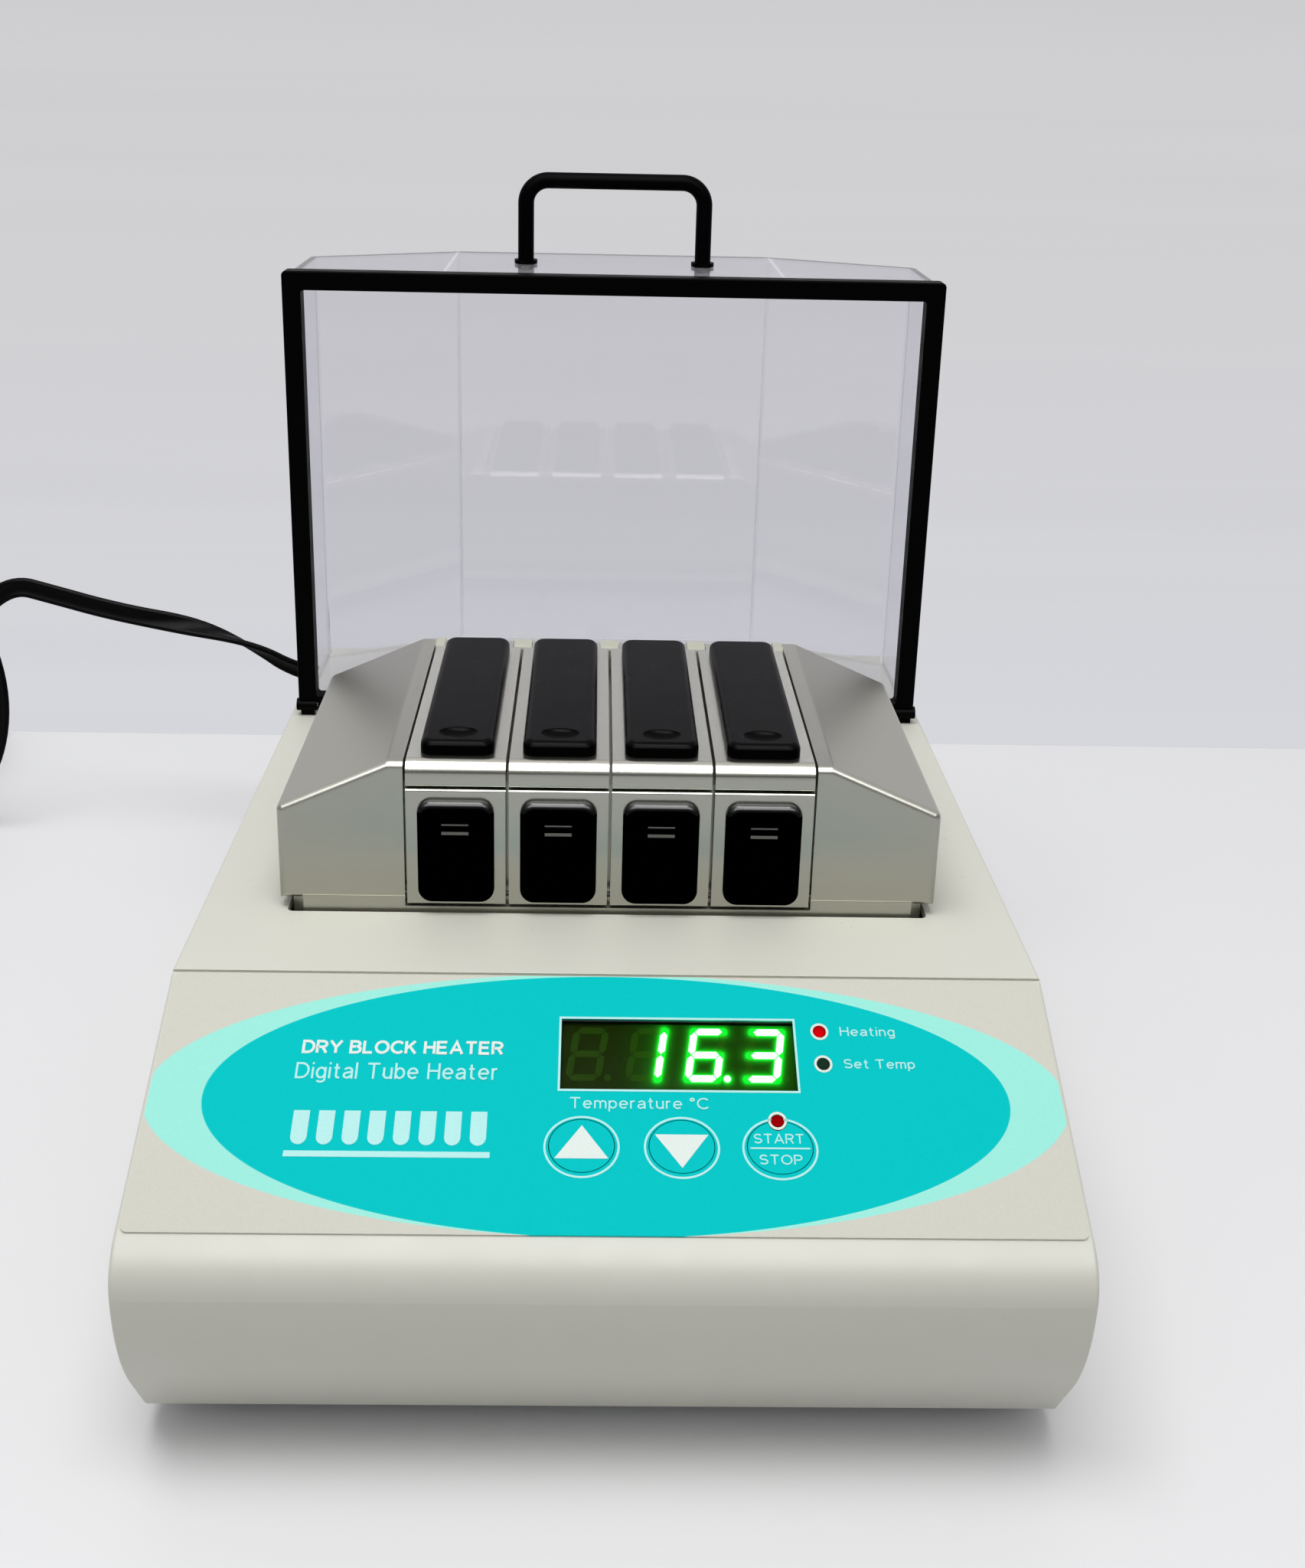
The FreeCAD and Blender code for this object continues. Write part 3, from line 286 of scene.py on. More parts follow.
def brushed(name, colour, roughness, stretch, metallic=1.0, depth=0.0, upright=1.0):
    """Machined metal with very fine lines along one direction; upright faces get painted shade, their colour
    scaled down by the upright factor.
    """
    look = Look(name)
    lines = look.noise(1600.0, 2.0, stretch)
    cloud = look.noise(22.0, 3.0)
    shade = look.blend(lines, tinted(colour, 0.97), tinted(colour, 1.03))
    # Painted shade: upright faces are darker than level tops, standing in for light falling from above.
    if upright != 1.0:
        upward = look.math("ABSOLUTE", look.upward())
        tone = look.remap(upward, 0.1, 0.7, upright, 1.0)
        shade = look.node("VectorMath", {0: shade, "Scale": tone}, operation="SCALE").outputs[0]
    wide = look.remap(cloud, 0.3, 0.7, roughness * 0.93, roughness * 1.07)
    rough = look.math("ADD", wide, look.remap(lines, 0.2, 0.8, -0.02, 0.02))
    look.set(Base_Color=shade, Metallic=metallic, Roughness=rough)
    if depth:
        look.set(Normal=look.bump(lines, depth, 0.5))
    return look.material


def white_enamel():
    """Powder coat: faint orange peel, soft mottling and a few dark specks round the block's well."""
    look = Look("white_enamel")
    mottle = look.noise(18.0, 4.0)
    paint = look.blend(mottle, srgb(208, 208, 196), srgb(213, 213, 202))
    low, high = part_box("insert_block")
    middle = (low + high) / 2
    across = look.math("ABSOLUTE", look.along(X_AXIS, middle))
    along = look.math("ABSOLUTE", look.along(Vector((0, 1, 0)), middle))
    reach_x = look.remap(across, (high.x - low.x) / 2 / MM, (high.x - low.x) / 2 / MM + 14, 1.0, 0.0)
    reach_y = look.remap(along, (high.y - low.y) / 2 / MM, (high.y - low.y) / 2 / MM + 10, 1.0, 0.0)
    near = look.math("MULTIPLY", reach_x, reach_y)
    speck = look.remap(look.noise(620.0, 4.0), 0.66, 0.72, 0.0, 0.8)
    scuff = look.remap(look.noise(60.0, 3.0), 0.5, 0.62, 0.0, 1.0)
    dirt = look.math("MULTIPLY", look.math("MULTIPLY", speck, scuff), near)
    look.set(Base_Color=look.blend(dirt, paint, srgb(92, 92, 90)))
    look.set(Roughness=look.remap(look.noise(90.0, 2.0), 0.3, 0.7, 0.42, 0.52))
    look.set(Normal=look.bump(look.noise(480.0, 2.0), 0.03 * MM, 0.35))
    return look.material


def panel_film():
    """Printed film: teal ellipse over a mint ellipse on warm grey, with a matt grain."""
    look = Look("panel_film")
    x = look.along(X_AXIS, PANEL_TOP)
    v = look.along(PANEL_UP, PANEL_TOP)

    def ellipse(half, centre_v):
        """One inside an ellipse and zero outside, with a crisp edge."""
        across = look.math("DIVIDE", x, half[0])
        up = look.math("DIVIDE", look.math("SUBTRACT", v, centre_v), half[1])
        length = look.math("SQRT", look.math("ADD", look.math("POWER", across, 2), look.math("POWER", up, 2)))
        return look.remap(length, 1.001, 0.999, 0.0, 1.0)

    grain = look.noise(1500.0, 2.0)
    warm = look.blend(grain, srgb(207, 206, 193), srgb(215, 214, 203))
    mint = look.blend(grain, srgb(156, 234, 219), srgb(164, 240, 226))
    teal = look.blend(grain, srgb(0, 193, 194), srgb(0, 202, 201))
    art = look.blend(ellipse(MINT_HALF, MINT_RISE), warm, mint)
    art = look.blend(ellipse(TEAL_HALF, TEAL_RISE), art, teal)
    look.set(Base_Color=art, Roughness=look.remap(grain, 0.3, 0.7, 0.5, 0.6), Specular_IOR_Level=0.02)
    look.set(Normal=look.bump(grain, 0.006 * MM, 0.5))
    return look.material


def print_ink(name, colour):
    """Screen print: nearly even ink with a faint matt grain."""
    look = Look(name)
    grain = look.noise(1800.0, 2.0)
    look.set(Base_Color=look.blend(grain, tinted(colour, 0.95), tinted(colour, 1.05)), Roughness=0.5)
    look.set(Normal=look.bump(grain, 0.005 * MM, 0.4))
    return look.material


def clear_acrylic():
    """Clear sheet with a cool tint, faint scuffs and shadows that let most light through."""
    look = Look("clear_acrylic")
    smear = look.remap(look.noise(28.0, 4.0, (1, 1, 0.5)), 0.62, 0.75, 0.0, 0.05)
    from_bend = look.math("SUBTRACT", look.math("ABSOLUTE", look.along(X_AXIS, Vector())), COVER_BEND_X)
    bend = look.remap(look.math("ABSOLUTE", from_bend), 0.3, 0.7, 0.22, 0.0)
    cloudy = look.math("ADD", look.math("MAXIMUM", smear, bend), 0.03)
    haze = look.node("BsdfDiffuse", {"Color": (0.85, 0.86, 0.9, 1)}).outputs[0]
    glass_inputs = {"Color": (0.935, 0.932, 0.95, 1), "Roughness": 0.0, "IOR": 1.45}
    glass = look.node("BsdfGlass", glass_inputs).outputs[0]
    body = look.node("MixShader", {0: cloudy, 1: glass, 2: haze}).outputs[0]
    clear = look.node("BsdfTransparent", {"Color": (0.93, 0.93, 0.95, 1)}).outputs[0]
    path = look.node("LightPath")
    passing = look.math("MAXIMUM", path.outputs["Is Shadow Ray"], path.outputs["Is Diffuse Ray"])
    shader = look.node("MixShader", {0: passing, 1: body, 2: clear}).outputs[0]
    look.put(look.output.inputs["Surface"], shader)
    return look.material


def display_lens():
    """Dark tinted window that shows the lit segments behind it."""
    look = Look("display_lens")
    smear = look.remap(look.noise(60.0, 4.0), 0.3, 0.7, 0.04, 0.10)
    gloss = look.node("BsdfGlossy", {"Roughness": smear}).outputs[0]
    clear = look.node("BsdfTransparent", {"Color": (0.94, 0.97, 0.93, 1)}).outputs[0]
    edge = look.node("Fresnel", {"IOR": 1.35}).outputs[0]
    shader = look.node("MixShader", {0: look.math("MULTIPLY", edge, 0.02), 1: clear, 2: gloss}).outputs[0]
    look.put(look.output.inputs["Surface"], shader)
    return look.material


def glowing(name, colour, light, strength, rough=0.3):
    """Lit plastic: a coloured body with an even glow and a faint cloudiness."""
    look = Look(name)
    cloud = look.noise(900.0, 2.0)
    look.set(Base_Color=look.blend(cloud, tinted(colour, 0.9), tinted(colour, 1.1)), Roughness=rough)
    glow = look.remap(cloud, 0.3, 0.7, strength * 0.92, strength * 1.08)
    look.set(Emission_Color=light, Emission_Strength=glow)
    look.set(Specular_IOR_Level=0.0)
    return look.material


def lamp_lens(name, colour, light, strength):
    """Small tinted lens, brighter in its middle than at its rim."""
    look = Look(name)
    face = look.node("LayerWeight", {"Blend": 0.35}).outputs["Facing"]
    glow = look.remap(face, 0.0, 0.5, strength, strength * 0.04)
    dust = look.noise(1500.0, 2.0)
    look.set(Base_Color=look.blend(dust, tinted(colour, 0.85), tinted(colour, 1.15)), Roughness=0.25)
    look.set(Emission_Color=light, Emission_Strength=glow, Specular_IOR_Level=0.0)
    return look.material


def ghost_segment():
    """Unlit segment: a faint olive veil that lets the face's glow through."""
    look = Look("segment_unlit")
    veil = look.noise(900.0, 2.0)
    olive = look.blend(veil, srgb(58, 104, 16), srgb(66, 116, 20))
    body = look.node("BsdfDiffuse", {"Color": olive}).outputs[0]
    clear = look.node("BsdfTransparent").outputs[0]
    shader = look.node("MixShader", {0: look.remap(veil, 0.3, 0.7, 0.14, 0.18), 1: clear, 2: body}).outputs[0]
    look.put(look.output.inputs["Surface"], shader)
    return look.material


def glow_sheet():
    """Face of the display: dark olive, lit where the sheet's glow value is high."""
    look = Look("display_face")
    glow = look.node("Attribute", attribute_name="glow").outputs["Fac"]
    cloud = look.noise(400.0, 3.0)
    base = look.blend(cloud, srgb(24, 36, 4), srgb(30, 44, 7))
    look.set(Base_Color=base, Roughness=0.7, Specular_IOR_Level=0.0, Emission_Color=(0.0, 1.0, 0.03, 1))
    look.set(Emission_Strength=look.math("MULTIPLY", glow, look.remap(cloud, 0.3, 0.7, 0.95, 1.05)))
    return look.material


def feathered_felt():
    """Mineral wool: long pale fibres with deep relief."""
    look = Look("mineral_felt")
    fibre = look.noise(260.0, 6.0, (1, 4, 2))
    look.set(Base_Color=look.blend(fibre, srgb(150, 140, 110), srgb(205, 196, 168)), Roughness=0.95)
    look.set(Normal=look.bump(fibre, 0.5 * MM, 0.9))
    return look.material


def circuit_board():
    """Green lacquer over raised tracks."""
    look = Look("board_green")
    tracks = look.node("TexVoronoi", {"Vector": look.place, "Scale": 260.0}, distance="MANHATTAN")
    lines = look.remap(tracks.outputs["Distance"], 0.28, 0.32, 0.0, 1.0)
    green = look.blend(lines, srgb(12, 70, 36), srgb(24, 98, 52))
    look.set(Base_Color=green, Roughness=0.35, Coat_Weight=0.5)
    look.set(Normal=look.bump(lines, 0.02 * MM, 0.4))
    return look.material


FINE_X = (0.02, 1, 1)


def slot_materials():
    """One finish for each material slot of the record."""
    return {
        "white_enamel": white_enamel(),
        "panel_film": panel_film(),
        "key_film": panel_film(),
        "clear_acrylic": clear_acrylic(),
        "display_lens": display_lens(),
        "mineral_felt": feathered_felt(),
        "board_green": circuit_board(),
        # Painted shade: the block's and lids' upright faces are darkened by the upright factor.
        "block_aluminium": brushed("block_aluminium", (0.48, 0.475, 0.42, 1), 0.34, FINE_X, upright=0.74),
        "lid_aluminium": brushed("lid_aluminium", (0.68, 0.675, 0.60, 1), 0.24, FINE_X, upright=0.52),
        "zinc_sheet": brushed("zinc_sheet", (0.52, 0.53, 0.54, 1), 0.42, (1, 1, 1), depth=0.01 * MM),
        "screw_steel": brushed("screw_steel", (0.50, 0.50, 0.49, 1), 0.30, (1, 1, 1)),
        "probe_steel": brushed("probe_steel", (0.58, 0.58, 0.58, 1), 0.25, FINE_X),
        "transformer_iron": brushed("transformer_iron", (0.16, 0.16, 0.17, 1), 0.5, (1, 1, 8), 0.8),
        "tab_champagne": moulded("tab_champagne", srgb(186, 186, 170), 0.5, spread=0.05),
        # The black plastics below carry a painted sheen that is stronger on their tops.
        "grip_black": painted_sheen_black("grip_black", 0.30, 0.01, 0.058, 0.0004),
        "rim_black": painted_sheen_black("rim_black", 0.42, 0.02, 0.03, 0.0005),
        "black_plastic": painted_sheen_black("black_plastic", 0.42, 0.025, 0.05, 0.0008),
        "black_rubber": moulded("black_rubber", (0.010, 0.010, 0.010, 1), 0.75, 1200.0, 0.05 * MM),
        "cord_black": painted_sheen_black("cord_black", 0.42, 0.04, 0.10, 0.0015),
        "display_black": moulded("display_black", (0.010, 0.012, 0.008, 1), 0.6),
        "nylon_white": moulded("nylon_white", srgb(226, 224, 214), 0.5, spread=0.04),
        "silicone_orange": moulded("silicone_orange", srgb(206, 88, 34), 0.6, 300.0, 0.1 * MM),
        "wire_red": moulded("wire_red", srgb(176, 26, 22), 0.4),
        "rocker_red": moulded("rocker_red", srgb(186, 22, 20), 0.28, coat=0.4),
        "ribbon_grey": moulded("ribbon_grey", srgb(150, 152, 156), 0.5, spread=0.06),
        "led_lens": moulded("led_lens", srgb(40, 60, 45), 0.3, coat=0.5),
        # Painted highlight: the latch tiles' top bevels get a strong sheen where they face up.
        "tile_black": painted_sheen_black("tile_black", 0.28, 0.0, 0.85, 0.0003),
        # Painted shade: near-black steel for the latch pivot rods, so the gaps between the latch plates read
        # as shadow.
        "gap_shade_steel": brushed("gap_shade_steel", (0.05, 0.05, 0.05, 1), 0.5, FINE_X),
    }


# ---- pieces -------------------------------------------------------------
def add_piece(name, mesh, body, material):
    """A visible piece that rides a body and takes the given material."""
    piece = bpy.data.objects.new(name, mesh)
    bpy.context.scene.collection.objects.link(piece)
    mesh.materials.append(material)
    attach(piece, body)
    return piece


def mesh_from(name, build, matrix=None, smooth_angle=None):
    """Mesh made by build(bmesh), then placed; edges flatter than the angle are smooth."""
    work = bmesh.new()
    build(work)
    bmesh.ops.recalc_face_normals(work, faces=work.faces)
    if matrix is not None:
        work.transform(matrix)
    if smooth_angle is not None:
        for face in work.faces:
            face.smooth = True
        for edge in work.edges:
            edge.smooth = len(edge.link_faces) == 2 and edge.calc_face_angle(0) < smooth_angle
    mesh = bpy.data.meshes.new(name)
    work.to_mesh(mesh)
    work.free()
    return mesh


def oval(half_x, half_y, count=72):
    turns = [2 * math.pi * i / count for i in range(count)]
    return [(half_x * math.cos(turn), half_y * math.sin(turn)) for turn in turns]


def rectangle(width, height):
    x, y = width / 2, height / 2
    return [(-x, -y), (x, -y), (x, y), (-x, y)]


def plate(outline, height, hole=None):
    """Builder for a flat plate from an outline of (x, y), with an optional hole of as many points."""
    def build(work):
        def ring(points, z):
            return [work.verts.new((x, y, z)) for x, y in points]

        def wall(a, b):
            for i in range(len(a)):
                j = (i + 1) % len(a)
                work.faces.new((a[i], a[j], b[j], b[i]))

        top, bottom = ring(outline, height), ring(outline, 0)
        wall(bottom, top)
        if hole:
            inner_top, inner_bottom = ring(hole, height), ring(hole, 0)
            wall(top, inner_top)
            wall(inner_top, inner_bottom)
            wall(inner_bottom, bottom)
        else:
            work.faces.new(top)
            work.faces.new(list(reversed(bottom)))
    return build


def printed(name, outline, x, v, body, ink, hole=None):
    """Ink shape on the panel at x, v; outlines are in millimetres."""
    matrix = panel_matrix(x, v, PRINT_LIFT)
    mesh = mesh_from(name, plate(outline, PRINT_HEIGHT / MM, hole), matrix)
    return add_piece(name, mesh, body, ink)


def arc(x, y, half_x, half_y, start, end, steps=14):
    """Points along an ellipse, from one angle to another in degrees."""
    turns = [math.radians(start + (end - start) * i / steps) for i in range(steps + 1)]
    return [(x + half_x * math.cos(turn), y + half_y * math.sin(turn)) for turn in turns]


# Plain letters as strokes, one unit tall for a capital. A stroke that ends where it starts is closed.
BOWL = arc(0.27, 0.36, 0.21, 0.305, 0, 360, 28)
GLYPHS = {
    "A": [[(0.02, 0), (0.36, 0.96), (0.70, 0)], [(0.15, 0.32), (0.57, 0.32)]],
    "B": [[(0.36, 0.53), (0.08, 0.53), (0.08, 0.94), (0.36, 0.94)] + arc(0.38, 0.735, 0.21, 0.205, 85, -85),
          [(0.08, 0.55), (0.08, 0.06), (0.38, 0.06)] + arc(0.40, 0.295, 0.24, 0.235, -85, 85)],
    "C": [arc(0.42, 0.5, 0.36, 0.44, 42, 318, 22)],
    "D": [[(0.08, 0.5), (0.08, 0.94), (0.33, 0.94)] + arc(0.33, 0.5, 0.35, 0.44, 85, -85)
          + [(0.33, 0.06), (0.08, 0.06), (0.08, 0.5)]],
    "E": [[(0.60, 0.94), (0.08, 0.94), (0.08, 0.06), (0.62, 0.06)], [(0.08, 0.52), (0.56, 0.52)]],
    "H": [[(0.08, 0), (0.08, 1)], [(0.62, 0), (0.62, 1)], [(0.08, 0.52), (0.62, 0.52)]],
    "K": [[(0.08, 0), (0.08, 1)], [(0.60, 1), (0.08, 0.38)], [(0.27, 0.60), (0.64, 0)]],
    "L": [[(0.08, 1), (0.08, 0.06), (0.56, 0.06)]],
    "O": [arc(0.42, 0.5, 0.36, 0.44, 0, 360, 32)],
    "P": [[(0.08, 0), (0.08, 0.94), (0.36, 0.94)] + arc(0.36, 0.70, 0.25, 0.24, 85, -85) + [(0.08, 0.46)]],
    "R": [[(0.08, 0), (0.08, 0.94), (0.36, 0.94)] + arc(0.36, 0.71, 0.25, 0.23, 85, -85) + [(0.08, 0.48)],
          [(0.38, 0.48), (0.62, 0)]],
    "S": [arc(0.35, 0.72, 0.25, 0.22, 25, 262) + arc(0.35, 0.28, 0.27, 0.22, 82, -155)],
    "T": [[(0, 0.94), (0.62, 0.94)], [(0.31, 0.94), (0.31, 0)]],
    "Y": [[(0, 1), (0.33, 0.45), (0.66, 1)], [(0.33, 0.45), (0.33, 0)]],
    "a": [arc(0.28, 0.48, 0.19, 0.185, 160, 5) + [(0.47, 0)],
          [(0.47, 0.42), (0.28, 0.38)] + arc(0.24, 0.21, 0.17, 0.16, 80, 270) + [(0.34, 0.09), (0.47, 0.24)]],
    "b": [[(0.06, 0), (0.06, 1)], BOWL],
    "e": [[(0.06, 0.37), (0.52, 0.37)], arc(0.29, 0.36, 0.23, 0.305, 0, 316, 22)],
    "g": [BOWL, [(0.48, 0.71), (0.48, 0)] + arc(0.28, -0.03, 0.20, 0.18, 0, -150)],
    "i": [[(0.06, 0), (0.06, 0.71)], [(0.06, 0.88), (0.06, 1)]],
    "l": [[(0.06, 0), (0.06, 1)]],
    "m": [[(0.06, 0), (0.06, 0.71)], arc(0.225, 0.48, 0.165, 0.185, 180, 0) + [(0.39, 0)],
          arc(0.555, 0.48, 0.165, 0.185, 180, 0) + [(0.72, 0)]],
    "n": [[(0.06, 0), (0.06, 0.71)], arc(0.25, 0.46, 0.19, 0.205, 180, 0) + [(0.44, 0)]],
    "p": [[(0.06, -0.26), (0.06, 0.71)], BOWL],
    "r": [[(0.06, 0), (0.06, 0.71)], arc(0.24, 0.47, 0.18, 0.195, 180, 75)],
    "t": [[(0.12, 0.93), (0.12, 0.18)] + arc(0.25, 0.18, 0.13, 0.125, 185, 290), [(0, 0.66), (0.28, 0.66)]],
    "u": [[(0.06, 0.71), (0.06, 0.26)] + arc(0.25, 0.26, 0.19, 0.205, 180, 360), [(0.44, 0), (0.44, 0.71)]],
    "°": [arc(0.14, 0.84, 0.11, 0.11, 0, 360, 20)],
}
LETTER_SPACE = 0.22
WORD_SPACE = 0.34
LAYER_STEP = 0.004


def ribbon(points, width):
    """Outline of an even stroke, and its hole when the stroke closes on itself."""
    closed = math.dist(points[0], points[-1]) < 1e-6
    spots = [Vector(point) for point in (points[:-1] if closed else points)]
    count = len(spots)
    left, right = [], []
    for i, spot in enumerate(spots):
        inward = spot - spots[i - 1] if closed or i else spots[1] - spot
        outward = spots[(i + 1) % count] - spot if closed or i < count - 1 else inward
        inward, outward = inward.normalized(), outward.normalized()
        along = (inward + outward).normalized()
        reach = width / 2 / max(0.5, along.dot(inward))
        side = Vector((-along.y, along.x)) * reach
        left.append(tuple(spot + side))
        right.append(tuple(spot - side))
    return (left, right) if closed else (left + right[::-1], None)


def lettering(name, text, width, height, line, x, v, body, ink):
    """Stroke letters across width, with capitals of the given height centred at x, v, all in millimetres."""
    strokes, cursor = [], 0.0
    for character in text:
        if character == " ":
            cursor += WORD_SPACE
            continue
        glyph = GLYPHS[character]
        low = min(point[0] for stroke in glyph for point in stroke)
        high = max(point[0] for stroke in glyph for point in stroke)
        strokes += [[(px - low + cursor, py) for px, py in stroke] for stroke in glyph]
        cursor += high - low + LETTER_SPACE
    total = cursor - LETTER_SPACE
    scale_x = (width - line) / total

    def build(work):
        for layer, stroke in enumerate(strokes):
            flat = [((px - total / 2) * scale_x, (py - 0.5) * height) for px, py in stroke]
            outline, hole = ribbon(flat, line)
            plate(outline, PRINT_HEIGHT / MM + layer * LAYER_STEP, hole)(work)

    mesh = mesh_from(name, build, panel_matrix(x, v, PRINT_LIFT))
    return add_piece(name, mesh, body, ink)


def text_line(name, anchor_x, anchor_v, body, ink):
    """One of the printed lines, placed from its anchor on the panel."""
    text, width, height, line, across, up = PRINTED_LINES[name]
    lettering(name, text, width, height, line, anchor_x + across, anchor_v + up, body, ink)


def panel_printing():
    """White borders, captions, pictogram and key symbols."""
    white = print_ink("print_white", srgb(216, 228, 222))
    pale = print_ink("print_pale", srgb(168, 228, 224))
    low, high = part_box("display_window")
    width = (high.x - low.x) / MM - 2 * WINDOW_LIP
    border = 2 * DISPLAY_BORDER
    printed("display_border", rectangle(width + border, WINDOW_HEIGHT + border), DISPLAY_X, DISPLAY_V,
            "base", pale, rectangle(width, WINDOW_HEIGHT))
    text_line("caption_temperature", DISPLAY_X, DISPLAY_V, "base", pale)
    text_line("caption_heating", *LAMPS["heating_lamp"], "base", pale)
    text_line("caption_set", *LAMPS["set_lamp"], "base", pale)
    text_line("title_type", 0, 0, "base", white)
    text_line("title_note", 0, 0, "base", pale)
    tube_pictogram(*PICTOGRAM_SPOT, pale)

    for name, (x, v) in KEYS.items():
        ring = oval(*RING_HALF)
        inner = oval(RING_HALF[0] - RING_LINE, RING_HALF[1] - RING_LINE)
        printed(name + "_ring", ring, x, v - RING_DROP, "base", pale, inner)
    half, rise = ARROW_WIDTH / 2, ARROW_HEIGHT / 2
    x, v = KEYS["up_key"]
    up_arrow = [(-half, -rise), (half, -rise), (0, rise)]
    printed("up_arrow", up_arrow, x, v + UP_ARROW_RISE, "up_key", white)
    x, v = KEYS["down_key"]
    down_arrow = [(-half, rise), (0, -rise), (half, rise)]
    printed("down_arrow", down_arrow, x, v - DOWN_ARROW_DROP, "down_key", white)
    divider = rectangle(*DIVIDER_SIZE)
    printed("start_divider", divider, START_X, START_V - DIVIDER_DROP, "start_stop_key", pale)
    text_line("caption_start", START_X, START_V, "start_stop_key", pale)
    text_line("caption_stop", START_X, START_V, "start_stop_key", pale)


def tube_pictogram(x, v, ink):
    """Row of filled sample tubes, open end up, above a flat bar."""
    half = TUBE_HALF_WIDTH
    bends = [math.pi + math.pi * i / TUBE_BEND_STEPS for i in range(TUBE_BEND_STEPS + 1)]
    bottom = [(half * math.cos(turn), TUBE_BEND_HEIGHT + half * math.sin(turn)) for turn in bends]
    tube = [(-half, TUBE_TOP)] + bottom + [(half, TUBE_TOP)]
    for i in range(TUBE_COUNT):
        across = (i - (TUBE_COUNT - 1) / 2) * TUBE_PITCH
        printed(f"tube_icon_{i + 1}", tube, x + across, v, "base", ink)
    printed("block_icon", rectangle(*BAR_SIZE), x, v - BAR_DROP, "base", ink)


# ---- display ------------------------------------------------------------
SEGMENTS = {
    "a": ((-1, 1), (1, 1)), "b": ((1, 1), (1, 0)), "c": ((1, 0), (1, -1)), "d": ((-1, -1), (1, -1)),
    "e": ((-1, 0), (-1, -1)), "f": ((-1, 1), (-1, 0)), "g": ((-1, 0), (1, 0)),
}
DIGITS = {" ": "", "1": "bc", "3": "abcdg", "6": "acdefg"}


def slanted(x, y):
    """A point of an upright digit, leaned over and lifted to where the display shows it."""
    return x + y * math.tan(DIGIT_SLANT), y + DIGIT_RISE


def segment_ends(letter, centre_x):
    """Two ends of one segment's middle line, in display millimetres."""
    half_x, half_y = (DIGIT_WIDTH - SEGMENT_WIDTH) / 2, (DIGIT_HEIGHT - SEGMENT_WIDTH) / 2
    ends = []
    for across, up in SEGMENTS[letter]:
        ends.append(Vector((centre_x + across * half_x, up * half_y)))
    return ends


def segment_outline(letter, centre_x):
    """Six-sided bar with pointed ends, short of its neighbours by a thin gap."""
    start, end = segment_ends(letter, centre_x)
    along = (end - start).normalized()
    side = Vector((-along.y, along.x)) * SEGMENT_WIDTH / 2
    tip = along * SEGMENT_GAP
    shoulder = along * (SEGMENT_WIDTH / 2 + SEGMENT_GAP)
    points = [start + tip, start + shoulder - side, end - shoulder - side,
              end - tip, end - shoulder + side, start + shoulder + side]
    return [slanted(*point) for point in points]


def digit_places():
    """Centre of each digit, its lit segments and whether its point is lit."""
    places = []
    position = 0
    for index, character in enumerate(DISPLAY_TEXT):
        if character == ".":
            continue
        lit_point = DISPLAY_TEXT[index + 1:index + 2] == "."
        places.append(((position - 1.5) * DIGIT_PITCH + DIGIT_SHIFT, DIGITS[character], lit_point))
        position += 1
    return places


def point_spot(centre_x):
    """Where the decimal point of a digit sits."""
    return slanted(centre_x + DIGIT_WIDTH / 2 + POINT_OFFSET, -DIGIT_HEIGHT / 2 + SEGMENT_WIDTH / 2)


def display_digits():
    """Lit and unlit segments, and the face behind them that carries their glow."""
    lit = glowing("segment_lit", srgb(120, 255, 140), (0.62, 1.0, 0.72, 1), 1.6)
    unlit = ghost_segment()
    lines, points = [], []
    lift = -(OVERLAY_THICKNESS + SEGMENT_DEPTH)
    place_on_panel = panel_matrix(DISPLAY_X, DISPLAY_V, lift)
    for place, (centre_x, letters, lit_point) in enumerate(digit_places(), 1):
        for letter in SEGMENTS:
            glow = letter in letters
            name = f"digit_{place}_segment_{letter}"
            bar = plate(segment_outline(letter, centre_x), SEGMENT_THICKNESS)
            mesh = mesh_from(name, bar, place_on_panel)
            add_piece(name, mesh, "base", lit if glow else unlit)
            if glow:
                ends = [Vector(slanted(*end)) for end in segment_ends(letter, centre_x)]
                lines.append(ends)
        name = f"digit_{place}_point"
        spot = point_spot(centre_x)
        dot = [(spot[0] + x, spot[1] + y) for x, y in oval(POINT_RADIUS, POINT_RADIUS, 24)]
        mesh = mesh_from(name, plate(dot, SEGMENT_THICKNESS), place_on_panel)
        add_piece(name, mesh, "base", lit if lit_point else unlit)
        if lit_point:
            points.append(Vector(spot))
    display_face(lines, points, lift - FACE_GAP)


def distance_to(point, start, end):
    """Shortest way from a point to the line between two ends."""
    along = end - start
    share = max(0.0, min(1.0, (point - start).dot(along) / along.length_squared))
    return (point - start - along * share).length


